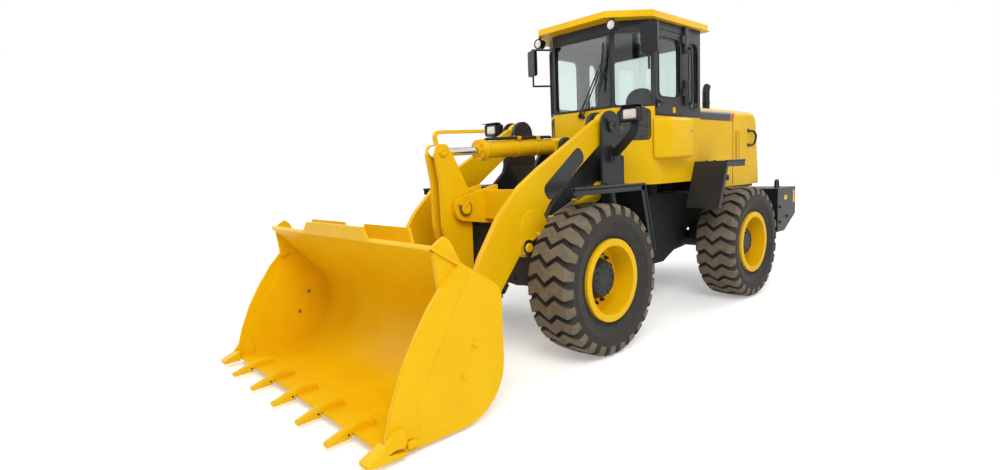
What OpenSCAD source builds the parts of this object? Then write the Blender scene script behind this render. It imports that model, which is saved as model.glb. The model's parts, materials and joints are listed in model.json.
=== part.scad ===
// Articulated wheel loader, three-tonne class, in millimetres.
// Stations (x) are measured forward from the rear axle, heights (z) up from the ground,
// and the finished machine is set with the middle of its length over the origin.

/* [Running gear] */
// Distance between the two axles
wheelbase = 2850; // [2750:10:2950]
// Distance between the middles of the left and right tyres
track = 1850; // [1800:10:1950]
// Tyre diameter out to the tips of the lugs
tyre_d = 1330; // [1280:10:1380]
// Tyre width
tyre_w = 445; // [400:5:460]
// Diameter over the rim flanges
rim_d = 720; // [660:10:760]
// Width over the rim flanges
rim_w = 400; // [360:5:410]
// Diameter of the wheel hub
hub_d = 330; // [280:5:360]
// Diameter of the axle tubes
axle_tube_d = 200; // [160:5:220]

/* [Rear frame] */
// Station of the back end of the frame
frame_rear_x = -980; // [-1050:10:-950]
// Distance from the middle to a frame rail
rail_y = 400; // [370:5:430]
// Thickness of the frame plates
rail_t = 40; // [25:1:50]
// Height of the underside of the frame
belly_z = 480; // [440:5:520]
// Height of the deck on which the hood rests
deck_z = 1320; // [1300:5:1340]
// Thickness of the deck
deck_t = 30; // [20:1:40]

/* [Steering pivot] */
// Height of the lower hinge
hinge_low_z = 545; // [540:5:580]
// Height of the upper hinge
hinge_top_z = 1130; // [1050:5:1150]
// Radius of the hinge eyes
hinge_r = 110; // [90:5:120]
// Radius of the hinge pins
hinge_pin_r = 40; // [30:1:50]

/* [Hood and counterweight] */
// Half width of the hood
hood_half_w = 700; // [660:5:715]
// Height of the hood's top at its middle
hood_top_z = 2330; // [2250:5:2400]
// Thickness of the hood's walls
hood_t = 25; // [15:1:35]
// Station of the hood's back end at its foot
hood_rear_x = -1140; // [-1180:5:-1100]
// Half width of the counterweight
weight_half_w = 1020; // [950:5:1100]
// Station of the back of the machine
rear_x = -1690; // [-1750:5:-1640]
// Height of the counterweight's top
weight_top_z = 1250; // [1200:5:1280]
// Radius of the tow pin's hole
tow_pin_r = 26; // [20:1:30]
// Radius of the holes in the lifting eyes
lift_eye_r = 25; // [18:1:30]

/* [Cab] */
// Distance of the cab's back wall behind the steering pivot
cab_behind = 895; // [865:5:915]
// Half width of the cab
cab_half_w = 720; // [700:5:740]
// Distance of the front door post ahead of the steering pivot
cab_post_ahead = 75; // [45:5:95]
// Distance of the windscreen ahead of the steering pivot
cab_ahead = 375; // [335:5:395]
// Half width of the windscreen face
cab_front_half_w = 400; // [360:5:430]
// Height of the cab's underside
cab_low_z = 1430; // [1410:5:1450]
// Height of the cab's frame, from its underside to its top
cab_h = 1705; // [1670:5:1720]
// Height of the waist, where the dark upper part starts, as a share of the cab's height
cab_waist_share = 0.4223; // [0.4:0.001:0.45]
// Thickness of the roof
roof_t = 65; // [50:1:80]
// Thickness of the cab's walls and doors
cab_t = 50; // [40:1:60]
// Thickness of the window glass
glass_t = 8; // [5:1:12]

/* [Front frame] */
// Station of the boom pivot, forward of the front axle
boom_pivot_x = -610; // [-640:5:-600]
// Height of the boom pivot
boom_pivot_z = 2030; // [1990:5:2060]
// Radius of the rounded tower ears
ear_r = 145; // [140:1:155]
// Clear width between the two ears on one side
ear_gap = 136; // [134:1:140]
// Thickness of the inner ears, which run down into the frame
ear_in_t = 42; // [30:1:45]
// Thickness of the outer ears
ear_out_t = 22; // [18:1:24]
// Clearance between a front tyre and the fender over it
fender_gap = 120; // [100:5:150]

/* [Boom and linkage] */
// Distance from the middle to a boom arm
boom_y = 600; // [595:1:602]
// Thickness of a boom arm
boom_t = 60; // [50:1:64]
// Forward reach from the boom pivot to the bucket pin
boom_reach = 1800; // [1780:5:1820]
// Drop from the boom pivot to the bucket pin
boom_drop = 1600; // [1580:5:1610]
// Radius of the boom pivot pin
boom_pin_r = 45; // [35:1:50]
// Radius of the bucket pins
bucket_pin_r = 40; // [30:1:45]
// Thickness of a rocker plate
rocker_t = 35; // [28:1:36]
// Clear width between the rocker plates
rocker_gap = 90; // [88:1:94]

/* [Cylinders] */
// Radius of a lift cylinder
lift_barrel_r = 62; // [55:1:63]
// Radius of a lift rod
lift_rod_r = 36; // [28:1:40]
// Radius of the tilt cylinder
tilt_barrel_r = 80; // [70:1:84]
// Radius of the tilt rod
tilt_rod_r = 37; // [28:1:40]
// Radius of a steering cylinder
steer_barrel_r = 42; // [35:1:46]
// Radius of a steering rod
steer_rod_r = 20; // [15:1:24]

/* [Bucket] */
// Half width over the side plates
bucket_half_w = 1265; // [1250:5:1280]
// Thickness of the bucket's plates
bucket_t = 25; // [18:1:30]
// Clearance between the bucket and the ground
bucket_low_z = 30; // [20:1:60]
// Length of the floor from the back wall to the cutting edge
bucket_depth = 940; // [900:5:980]
// Height of the lip over the floor
bucket_height = 1190; // [1150:5:1220]
// Reach of the tooth tips past the cutting edge
tooth_reach = 170; // [120:5:200]

/* [Hidden] */
$fn = 64;

// Colours, as the machine is painted
paint = "#E3AE1C";
dark = "#4B4D50";
black = "#1C1C1D";
rubber = "#3B3833";
steel = "#B9BCBE";
clear = "#BFDAD5";

// Running clearance of a pin in its eye, and of two parts that pass each other
fit = 0.1;
pass = 5;
// How far a cut runs past the face it cuts
over = 5;
// Gap between flat faces of two bodies that bear on each other
face_gap = 0.3;

// Heights and stations that follow from the driving sizes
axle_z = tyre_d / 2;
pivot_x = wheelbase / 2;
cab_rear_x = pivot_x - cab_behind;
cab_top_z = cab_low_z + cab_h;
cab_waist_z = round(cab_low_z + cab_waist_share * cab_h);
cab_post_x = pivot_x + cab_post_ahead;
cab_front_x = pivot_x + cab_ahead;
boom_pivot = [wheelbase + boom_pivot_x, boom_pivot_z];
bucket_pin = boom_pivot + [boom_reach, -boom_drop];
bucket_setback = 260;
bucket_back_x = bucket_pin[0] + bucket_setback;
bucket_edge_x = bucket_back_x + bucket_depth;
front_x = bucket_edge_x + tooth_reach;
origin_x = (front_x + rear_x) / 2;

// Linkage pins, as shares of the boom's reach and drop from its pivot
rocker_pivot_shares = [0.782, -0.4425];
rocker_top_shares = [0.883, -0.129];
rocker_low_shares = [0.754, -0.863];
bucket_lug_shares = [1.103, -0.817];
lift_eye_shares = [0.644, -0.656];
function on_boom(s) = boom_pivot + [s[0] * boom_reach, s[1] * boom_drop];
rocker_pivot = on_boom(rocker_pivot_shares);
rocker_top = on_boom(rocker_top_shares);
rocker_low = on_boom(rocker_low_shares);
bucket_lug = on_boom(bucket_lug_shares);
lift_eye = on_boom(lift_eye_shares);

// Shape helpers

// Rounds the corners of an outline with arcs of the given radii
function rounded(p, r, n = 5) = [
    for (i = [0 : len(p) - 1])
        let (
            b = p[i],
            ri = is_list(r) ? r[i] : r,
            u = unit(p[(i + len(p) - 1) % len(p)] - b),
            v = unit(p[(i + 1) % len(p)] - b),
            half = acos(u * v) / 2,
            o = b + unit(u + v) * ri / sin(half),
            s = b + u * ri / tan(half) - o,
            e = b + v * ri / tan(half) - o,
            a0 = atan2(s[1], s[0]),
            turn = (atan2(e[1], e[0]) - a0 + 540) % 360 - 180
        )
        each ri == 0 ? [b] : [for (k = [0 : n]) o + ri * [cos(a0 + turn * k / n), sin(a0 + turn * k / n)]]
];
function unit(v) = v / norm(v);

// Moves each side of a counter-clockwise outline inwards
function inset(p, d) = [
    for (i = [0 : len(p) - 1])
        let (
            u = unit(p[i] - p[(i + len(p) - 1) % len(p)]),
            v = unit(p[(i + 1) % len(p)] - p[i]),
            a = [-u[1], u[0]],
            b = [-v[1], v[0]]
        )
        p[i] + d * (a + b) / (1 + a * b)
];

module row() translate([-origin_x, 0, 0]) children();
module both() {
    children();
    mirror([0, 1, 0]) children();
}
module block(a, b) translate(a) cube(b - a);
// Extrudes an x-z outline from y to y + t
module plate(y, t) translate([0, y + t, 0]) rotate([90, 0, 0]) linear_extrude(t) children();
// Extrudes a y-z outline from x to x + t
module bulkhead(x, t) translate([x, 0, 0]) rotate([90, 0, 90]) linear_extrude(t) children();
// Round bar across the machine at the x-z point p
module cross_pin(p, r, y0, y1) translate([p[0], y1, p[1]]) rotate([90, 0, 0]) cylinder(r = r, h = y1 - y0);
// Flat bar with round eyes at its ends, as an outline; the waist is a share of the smaller eye
waist_share = 0.85;
module strap(a, ra, b, rb) {
    n = unit([a[1] - b[1], b[0] - a[0]]) * min(ra, rb) * waist_share;
    translate(a) circle(ra);
    translate(b) circle(rb);
    polygon([a + n, b + n, b - n, a - n]);
}

// Wheels

rim_well = 42;
rim_seat_r = rim_d / 2 - rim_well;
rim_lip = 30;
rim_wall = 18;
disc_t = 26;
hub_out = 105;
spindle_r = 70;
spindle_len = 110;
wheel_in = tyre_w / 2;

// Tyre: a skin of sections round the axle.
// Each lug has three of them: its two edges and the floor of the groove that follows.
seat_gap = 3;
lug_count = 22;
lug_depth = 34;
lug_top_share = 0.76;
// Points from the sidewall to the crown: shares of the way out, of the half width,
// of a lug pitch by which the zigzag runs ahead, and of the lug's depth
tread_shares = [[0.62, 1, -0.12, 0], [0.9, 0.96, -0.12, 1], [0.995, 0.45, 0.2, 1], [1, 0, -0.26, 1]];

module tyre_solid() {
    seat = rim_seat_r + seat_gap;
    deep = tyre_d / 2 - seat;
    bead = rim_w / 2 - rim_lip;
    pitch = 360 / lug_count;
    beads = [[seat, bead, 0, 0], [rim_d / 2 + pass, bead, 0, 0]];
    tread = [for (s = tread_shares) [seat + s[0] * deep, s[1] * tyre_w / 2, s[2] * pitch, s[3] * lug_depth]];
    half = concat(beads, tread);
    last = len(half) - 1;
    outline = concat(half, [for (i = [last - 1 : -1 : 0]) [half[i][0], -half[i][1], half[i][2], half[i][3]]]);
    columns = [
        for (k = [0 : lug_count - 1]) each [[k, 0], [k + lug_top_share, 0], [k + (1 + lug_top_share) / 2, 1]]
    ];
    wide = len(outline);
    points = [
        for (c = columns, s = outline)
            let (a = c[0] * pitch + s[2], r = s[0] - c[1] * s[3]) [r * cos(a), s[1], r * sin(a)]
    ];
    faces = [
        for (i = [0 : len(columns) - 1], j = [0 : wide - 1])
            let (
                m = (i + 1) % len(columns) * wide,
                n = (j + 1) % wide,
                k = i * wide
            )
            each [[k + j, k + n, m + n], [k + j, m + n, m + j]]
    ];
    polyhedron(points, faces);
}
// The outer face of the wheel looks towards +y
module rim_solid() {
    half = rim_w / 2;
    in_r = rim_seat_r - rim_wall;
    hub_r = hub_d / 2;
    bore_r = spindle_r + fit;
    outline = [
        [0, -wheel_in + spindle_len + pass], [bore_r, -wheel_in + spindle_len + pass], [bore_r, -wheel_in],
        [hub_r, -wheel_in], [hub_r, -disc_t], [in_r, -disc_t], [in_r, -half], [rim_d / 2, -half],
        [rim_d / 2, rim_lip - half], [rim_seat_r, rim_lip - half], [rim_seat_r, half - rim_lip],
        [rim_d / 2, half - rim_lip], [rim_d / 2, half], [in_r, half], [in_r, 0], [hub_r, 0],
        [hub_r, hub_out - disc_t], [hub_r - disc_t, hub_out], [0, hub_out]
    ];
    rotate([-90, 0, 0]) rotate_extrude($fn = 96) polygon(outline);
}
module wheel_at(x, side) row() translate([x, side * track / 2, axle_z])
    rotate([0, 0, side > 0 ? 0 : 180]) children();

module tyre_front_left() color(rubber) wheel_at(wheelbase, 1) tyre_solid();
module tyre_front_right() color(rubber) wheel_at(wheelbase, -1) tyre_solid();
module tyre_rear_left() color(rubber) wheel_at(0, 1) tyre_solid();
module tyre_rear_right() color(rubber) wheel_at(0, -1) tyre_solid();
module rim_front_left() color(paint) wheel_at(wheelbase, 1) rim_solid();
module rim_front_right() color(paint) wheel_at(wheelbase, -1) rim_solid();
module rim_rear_left() color(paint) wheel_at(0, 1) rim_solid();
module rim_rear_right() color(paint) wheel_at(0, -1) rim_solid();

// Axles

bowl_r = 190;
bowl_half = 240;
flange_r = 140;
flange_t = 40;
axle_end_y = track / 2 - wheel_in - face_gap;
// Rounded bowl of the axle, as shares of its radius and half length
bowl_shares = [[0.94, 0.35], [0.7, 0.75]];
bowl_face_share = 0.9;
rear_pad_z = 890;
front_pad_z = 820;
pad_half_x = 110;
pad_half_y = 55;
shaft_r = 45;

module axle_solid(pad_y, pad_z) {
    tube_r = axle_tube_d / 2;
    half = [
        [0, 0], [bowl_r, 0], each [for (s = bowl_shares) [s[0] * bowl_r, s[1] * bowl_half]],
        [tube_r, bowl_half], [tube_r, axle_end_y - 2 * flange_t], [flange_r, axle_end_y - flange_t],
        [flange_r, axle_end_y], [spindle_r, axle_end_y], [spindle_r, axle_end_y + spindle_len],
        [0, axle_end_y + spindle_len]
    ];
    both() {
        translate([0, 0, axle_z]) rotate([-90, 0, 0]) rotate_extrude() polygon(half);
        difference() {
            block([-pad_half_x, pad_y - pad_half_y, axle_z], [pad_half_x, pad_y + pad_half_y, pad_z]);
            translate([0, 0, axle_z]) rotate([-90, 0, 0]) cylinder(r = tube_r - 2 * fit, h = track);
        }
    }
}
module rear_axle() color(black) row() axle_solid(rail_y, rear_pad_z);
module front_axle() color(black) row() {
    translate([wheelbase, 0, 0]) axle_solid(ear_in_y + ear_in_t / 2, front_pad_z);
    translate([front_bulk_x + rail_t, 0, axle_z]) rotate([0, 90, 0])
        cylinder(r = shaft_r, h = wheelbase - bowl_r * bowl_face_share - front_bulk_x - rail_t);
}

// Rear frame with its steering hinge and the lugs of the steering cylinders

rail_in = rail_y - rail_t / 2;
rail_top = deck_z - deck_t;
rail_setback = 245;
rail_front_x = pivot_x - rail_setback;
rail_rear_z = 760;
arch_half = 220;
arch_foot = 330;
belly_setback = 565;
belly_x = pivot_x - belly_setback;
deck_setback = 595;
deck_front_x = pivot_x - deck_setback;
deck_tyre_gap = 15;
deck_out = track / 2 - tyre_w / 2 - deck_tyre_gap;
wing_foot_in = 70;
wing_foot_x = cab_rear_x + wing_foot_in;
eye_gap = 35;
eye_t = 30;
ear_half_w = 300;
mount_half = 50;
cab_mount_in = [120, 550];
steer_z = 850;
steer_base_back = 525;
steer_base_y = 250;
steer_base = [pivot_x - steer_base_back, steer_base_y];
steer_end_ahead = 230;
steer_end_y = 290;
steer_rod_end = [pivot_x + steer_end_ahead, steer_end_y];
steer_window_y = [155, 375];
steer_window_half = 65;
steer_eye_r = 42;
steer_pin_r = 20;
steer_gap = 30;
steer_lug_t = 20;

rail_outline = [
    [frame_rear_x, rail_top], [frame_rear_x, rail_rear_z], [-arch_foot, rail_rear_z], [-arch_half, rear_pad_z],
    [arch_half, rear_pad_z], [arch_foot + arch_half / 2, axle_z], [belly_x, belly_z], [rail_front_x, belly_z],
    [rail_front_x, rail_top]
];
module hinge_eye(root_x, half_w) {
    translate([pivot_x, 0]) circle(hinge_r);
    polygon([[root_x, half_w], [pivot_x, hinge_r], [pivot_x, -hinge_r], [root_x, -half_w]]);
}
module steer_lugs(p, wall) {
    for (z = [steer_z - steer_gap - steer_lug_t, steer_z + steer_gap])
        translate([0, 0, z]) linear_extrude(steer_lug_t) {
            translate(p) circle(steer_eye_r);
            polygon(wall);
        }
}
module rear_frame() color(dark) row() {
    both() {
        plate(rail_in, rail_t) polygon(rail_outline);
        block([frame_rear_x, rail_in, rail_top], [deck_front_x, deck_out, deck_z]);
        block([wing_foot_x, rail_in, rail_top], [deck_front_x, cab_half_w, deck_z]);
        for (in = cab_mount_in)
            block([cab_rear_x + in - mount_half, rail_y - mount_half, rail_top - over],
                [cab_rear_x + in + mount_half, rail_y + mount_half, cab_low_z]);
        steer_lugs(steer_base, [
            [steer_base[0] - steer_eye_r, steer_base[1]], [steer_base[0] + steer_eye_r, steer_base[1]],
            [steer_base[0] + steer_eye_r, rail_in + over], [steer_base[0] - steer_eye_r, rail_in + over]
        ]);
        translate([steer_base[0], steer_base[1], steer_z - steer_gap - steer_lug_t])
            cylinder(r = steer_pin_r, h = 2 * (steer_gap + steer_lug_t));
    }
    block([frame_rear_x, -rail_y, rail_rear_z], [frame_rear_x + rail_t, rail_y, rail_top]);
    difference() {
        block([rail_front_x - rail_t, -rail_y, belly_z], [rail_front_x, rail_y, rail_top]);
        both() block([rail_front_x - rail_t - over, steer_window_y[0], steer_z - steer_window_half],
            [rail_front_x + over, steer_window_y[1], steer_z + steer_window_half]);
    }
    for (z = [hinge_low_z, hinge_top_z]) {
        for (low = [z - eye_gap - eye_t, z + eye_gap])
            translate([0, 0, low]) linear_extrude(eye_t) hinge_eye(rail_front_x - rail_t, ear_half_w);
        translate([pivot_x, 0, z - eye_gap - eye_t]) cylinder(r = hinge_pin_r, h = 2 * (eye_gap + eye_t));
    }
}

// Engine and gearbox, plain blocks on feet between the rails

engine_gap = 150;
engine_x = [-700, cab_rear_x - engine_gap];
engine_half_w = 320;
engine_z = [940, 1750];
gearbox_setback = 575;
gearbox_len = 430;
gearbox_x = [pivot_x - gearbox_setback - gearbox_len, pivot_x - gearbox_setback];
gearbox_half_w = 220;
gearbox_z = [560, 1010];
foot_len = 120;
foot_t = 60;

module feet(stations, half_w, z) both()
    for (x = stations) block([x, half_w - over, z], [x + foot_len, rail_in, z + foot_t]);
module engine() color(dark) row() {
    block([engine_x[0], -engine_half_w, engine_z[0]], [engine_x[1], engine_half_w, engine_z[1]]);
    feet([engine_x[0] + foot_len, engine_x[1] - 2 * foot_len], engine_half_w, engine_z[0] + foot_t);
}
module gearbox() color(dark) row() {
    block([gearbox_x[0], -gearbox_half_w, gearbox_z[0]], [gearbox_x[1], gearbox_half_w, gearbox_z[1]]);
    feet([gearbox_x[0] + foot_len], gearbox_half_w, axle_z + foot_t);
    translate([bowl_r + fit, 0, axle_z]) rotate([0, 90, 0]) cylinder(r = shaft_r, h = gearbox_x[0] - bowl_r);
}

// Counterweight with the tow pin's pocket and two lifting eyes

weight_low_z = 670;
weight_step_x = -1210;
weight_tail_z = 930;
weight_corner_r = 110;
tow_pocket_half = 120;
tow_pocket_z = [1000, 1150];
tow_depth = 160;
tow_pin_in = 80;
tow_pin_x = rear_x + tow_pin_in;
tow_hole_low_z = 950;
eye_y = 850;
eye_x = -1350;
eye_plate_t = 30;
eye_plate_r = 55;
eye_rise = 55;
eye_z = weight_top_z + eye_rise;

module counterweight() color(black) row() {
    difference() {
        intersection() {
            plate(-weight_half_w, 2 * weight_half_w) polygon(rounded([
                [frame_rear_x, weight_top_z], [rear_x, weight_top_z], [rear_x, weight_tail_z],
                [weight_step_x, weight_low_z], [frame_rear_x, weight_low_z]
            ], [0, eye_plate_t, eye_plate_t, eye_plate_t, 0]));
            linear_extrude(weight_top_z + over) polygon(rounded([
                [frame_rear_x, weight_half_w], [rear_x, weight_half_w], [rear_x, -weight_half_w],
                [frame_rear_x, -weight_half_w]
            ], [0, weight_corner_r, weight_corner_r, 0]));
        }
        block([rear_x - over, -tow_pocket_half, tow_pocket_z[0]],
            [rear_x + tow_depth, tow_pocket_half, tow_pocket_z[1]]);
        translate([tow_pin_x, 0, tow_hole_low_z])
            cylinder(r = tow_pin_r, h = weight_top_z - tow_hole_low_z + over);
    }
    both() difference() {
        plate(eye_y, eye_plate_t) {
            translate([eye_x, eye_z]) circle(eye_plate_r);
            translate([eye_x - eye_plate_r, weight_top_z - over])
                square([2 * eye_plate_r, eye_z - weight_top_z + over]);
        }
        cross_pin([eye_x, eye_z], lift_eye_r, eye_y - over, eye_y + eye_plate_t + over);
    }
}

// Hood, which tilts up about its front top edge, with its grille and exhaust

hood_gap = 30;
hood_front_x = cab_rear_x - hood_gap;
hood_foot_z = deck_z + face_gap;
hood_crown = 55;
hood_shoulder_z = hood_top_z - hood_crown;
hood_rear_lean = 120;
hood_shoulder_r = 80;
hood_rear_r = 260;
grille_half_w = 470;
grille_z = [1420, 2020];
grille_bar = 18;
grille_count = 14;
louvre_x = [-550, -485];
louvre_len = 55;
louvre_h = 9;
louvre_pitch = 20;
louvre_count = 18;
louvre_low_z = 1670;
exhaust_x = -645;
exhaust_y = 200;
exhaust_r = 48;
exhaust_wall = 5;
exhaust_straight = 250;
exhaust_bend_r = 120;
exhaust_bend = 45;
hood_hinge_r = 16;
hood_pin_r = 9;
hood_hinge_rise = 24;
hood_knuckle_y = [250, 295];
hood_bracket_y = [300, 340];
hood_hinge = [hood_front_x - hood_hinge_r, hood_top_z + hood_hinge_rise];

module hood_section(d) polygon(rounded(inset([
    [-hood_half_w, hood_foot_z - over - d], [hood_half_w, hood_foot_z - over - d],
    [hood_half_w, hood_shoulder_z],
    [hood_half_w / 2, hood_top_z], [-hood_half_w / 2, hood_top_z], [-hood_half_w, hood_shoulder_z]
], d), [0, 0, hood_shoulder_r - d, hood_half_w / 2, hood_half_w / 2, hood_shoulder_r - d]));
module hood_profile(d, front) polygon(rounded([
    [hood_rear_x + d, hood_foot_z - (d > 0 ? over : 0)], [front, hood_foot_z - (d > 0 ? over : 0)],
    [front, hood_top_z + over - d], [hood_rear_x + hood_rear_lean + d, hood_top_z - d]
], [0, 0, 0, hood_rear_r - d]));
module hood_form(d, front) intersection() {
    bulkhead(hood_rear_x - over, front - hood_rear_x + 2 * over) hood_section(d);
    plate(-hood_half_w - over, 2 * (hood_half_w + over)) hood_profile(d, front);
}
module hood() color(paint) row() difference() {
    union() {
        hood_form(0, hood_front_x);
        both() {
            cross_pin(hood_hinge, hood_hinge_r, hood_knuckle_y[0], hood_knuckle_y[1]);
            block([hood_hinge[0] - hood_hinge_r, hood_knuckle_y[0], hood_top_z - over],
                [hood_hinge[0] + hood_hinge_r, hood_knuckle_y[1], hood_hinge[1]]);
        }
    }
    both() cross_pin(hood_hinge, hood_pin_r + fit, hood_knuckle_y[0] - over, hood_knuckle_y[1] + over);
    hood_form(hood_t, hood_front_x + over);
    block([hood_rear_x - over, -grille_half_w, grille_z[0]], [engine_x[0] - over, grille_half_w, grille_z[1]]);
    both() for (x = louvre_x, k = [0 : louvre_count - 1])
        translate([x, hood_half_w - hood_t - over, louvre_low_z + k * louvre_pitch])
            cube([louvre_len, hood_t + 2 * over, louvre_h]);
}
module rear_grille() color(black) row() intersection() {
    difference() {
        hood_form(fit, hood_front_x);
        hood_form(hood_t, hood_front_x + over);
    }
    union() {
        pitch = (grille_z[1] - grille_z[0]) / grille_count;
        for (k = [0 : grille_count - 1])
            block([hood_rear_x - over, -grille_half_w, grille_z[0] + k * pitch],
                [engine_x[0], grille_half_w, grille_z[0] + k * pitch + grille_bar]);
        for (y = [-grille_half_w, -grille_bar / 2, grille_half_w - grille_bar])
            block([hood_rear_x - over, y, grille_z[0]], [engine_x[0], y + grille_bar, grille_z[1]]);
    }
}
module exhaust() color(black) row() translate([exhaust_x, exhaust_y, hood_top_z]) {
    difference() {
        cylinder(r = exhaust_r, h = exhaust_straight);
        translate([0, 0, exhaust_r]) cylinder(r = exhaust_r - exhaust_wall, h = exhaust_straight);
    }
    translate([-exhaust_bend_r, 0, exhaust_straight]) rotate([90, 0, 0]) rotate_extrude(angle = exhaust_bend)
        translate([exhaust_bend_r, 0]) difference() {
            circle(exhaust_r);
            circle(exhaust_r - exhaust_wall);
        }
}

// Cab: hollow lower body, dark upper frame with its windows cut, roof and glass

cab_plan = [
    [cab_rear_x, -cab_half_w], [cab_post_x, -cab_half_w], [cab_front_x, -cab_front_half_w],
    [cab_front_x, cab_front_half_w], [cab_post_x, cab_half_w], [cab_rear_x, cab_half_w]
];
cab_floor_t = 40;
sill_rise = 100;
door_in = [385, 12];
door_x = [cab_rear_x + door_in[0], cab_post_x - door_in[1]];
header_h = 85;
door_top_z = cab_top_z - header_h;
door_sill = 40;
door_low_z = cab_low_z + cab_floor_t + door_sill;
waist_gap = 12;
half_door_low_z = cab_waist_z + waist_gap;
door_gap = 6;
window_in = 75;
window_rise = 210;
window_low_z = cab_waist_z + window_rise;
window_head = 78;
window_top_z = door_top_z - window_head;
window_r = 60;
screen_sill = 25;
screen_low_z = cab_waist_z + sill_rise + screen_sill;
screen_head = 120;
screen_top_z = cab_top_z - screen_head;
screen_in = 30;
quarter_in = [70, 250];
quarter_rise = 100;
low_pane_drop = 230;
low_pane_rise = 60;
low_pane_in = 60;
quarter_r = 80;
rear_window_half_w = 480;
hinge_out = 18;
hinge_back = 12;
door_hinge_r = 16;
door_pin_r = 8;
door_hinge_len = 90;
door_hinge = [door_x[0] - hinge_back, cab_half_w + hinge_out];
hinge_rise = [120, 70];
hinge_head = 200;
left_hinge_z = [half_door_low_z + hinge_rise[0], door_top_z - hinge_head];
right_hinge_z = [half_door_low_z + hinge_rise[1], door_top_z - hinge_head];
corner_angle = atan2(cab_half_w - cab_front_half_w, cab_post_x - cab_front_x);
corner_len = norm([cab_front_x - cab_post_x, cab_half_w - cab_front_half_w]);

module cab_ring(z0, z1) translate([0, 0, z0]) linear_extrude(z1 - z0) difference() {
    polygon(cab_plan);
    polygon(inset(cab_plan, cab_t));
}
// Stands an outline drawn in length and height on the left slanted corner face
module on_corner(deep, t) translate([cab_front_x, cab_front_half_w, 0]) rotate([0, 0, corner_angle])
    translate([0, deep + t, 0]) rotate([90, 0, 0]) linear_extrude(t) children();
module pane(a, b, r) polygon(rounded([a, [b[0], a[1]], b, [a[0], b[1]]], r));
module door_outline(low, d) pane([door_x[0] + d, low + d], [door_x[1] - d, door_top_z - d], window_in);
module door_window() pane([door_x[0] + window_in, window_low_z],
    [door_x[1] - window_in, window_top_z], window_r);
module quarter_window() pane([cab_rear_x + quarter_in[0], cab_waist_z + quarter_rise],
    [cab_rear_x + quarter_in[1], window_top_z], quarter_r);
module screen_window() pane([-cab_front_half_w + screen_in, screen_low_z],
    [cab_front_half_w - screen_in, screen_top_z], screen_in);
module corner_window() pane([screen_in, screen_low_z], [corner_len - screen_in, screen_top_z], screen_in);
module low_pane() pane([low_pane_in, cab_waist_z - low_pane_drop],
    [corner_len - low_pane_in, cab_waist_z + low_pane_rise], screen_in);
module rear_window() pane([-rear_window_half_w, window_low_z], [rear_window_half_w, window_top_z], window_r);

module cab_lower() color(paint) row() difference() {
    union() {
        translate([0, 0, cab_low_z]) linear_extrude(cab_floor_t) polygon(cab_plan);
        cab_ring(cab_low_z, cab_waist_z);
        intersection() {
            cab_ring(cab_low_z, cab_waist_z + sill_rise);
            block([cab_post_x + fit, -cab_half_w, cab_low_z],
                [cab_front_x, cab_half_w, cab_waist_z + sill_rise]);
        }
    }
    block([door_x[0], -cab_half_w - over, door_low_z],
        [door_x[1], over - cab_half_w + cab_t, cab_waist_z + over]);
    both() on_corner(-over, cab_t + 2 * over) low_pane();
}
module hinge_post(zs) for (z = zs) {
    for (low = [z, z + 2 * door_hinge_len])
        translate([0, 0, low]) linear_extrude(door_hinge_len) {
            translate(door_hinge) circle(door_hinge_r);
            translate([door_hinge[0] - 3 * door_hinge_r, cab_half_w - over])
                square([3 * door_hinge_r, hinge_out + door_hinge_r + over]);
        }
    translate([door_hinge[0], door_hinge[1], z]) cylinder(r = door_pin_r, h = 3 * door_hinge_len);
}
module cab_frame() color(dark) row() {
    difference() {
        union() {
            difference() {
                cab_ring(cab_waist_z, cab_top_z);
                block([cab_post_x + fit, -cab_half_w, cab_waist_z - over],
                    [cab_front_x + over, cab_half_w, cab_waist_z + sill_rise]);
            }
            translate([0, 0, cab_top_z - cab_floor_t]) linear_extrude(cab_floor_t) polygon(cab_plan);
        }
        plate(cab_half_w - cab_t - over, cab_t + 2 * over) door_outline(half_door_low_z, 0);
        plate(-cab_half_w - over, cab_t + 2 * over) door_outline(door_low_z, 0);
        both() plate(cab_half_w - cab_t - over, cab_t + 2 * over) quarter_window();
        both() on_corner(-over, cab_t + 2 * over) corner_window();
        bulkhead(cab_front_x - cab_t - over, cab_t + 2 * over) screen_window();
        bulkhead(cab_rear_x - over, cab_t + 2 * over) rear_window();
    }
    hinge_post(left_hinge_z);
    mirror([0, 1, 0]) hinge_post(right_hinge_z);
    both() {
        cross_pin(hood_hinge, hood_pin_r, hood_knuckle_y[0], hood_bracket_y[1]);
        plate(hood_bracket_y[0], hood_bracket_y[1] - hood_bracket_y[0]) {
            translate(hood_hinge) circle(hood_hinge_r);
            translate([hood_hinge[0], hood_hinge[1] - hood_hinge_r])
                square([cab_rear_x - hood_hinge[0] + over, hood_hinge_r]);
        }
    }
}
module cab_glass() color(clear) row() {
    deep = (cab_t - glass_t) / 2;
    both() plate(cab_half_w - deep - glass_t, glass_t) quarter_window();
    both() on_corner(deep, glass_t) {
        corner_window();
        low_pane();
    }
    bulkhead(cab_front_x - deep - glass_t, glass_t) screen_window();
    bulkhead(cab_rear_x + deep, glass_t) rear_window();
}
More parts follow.
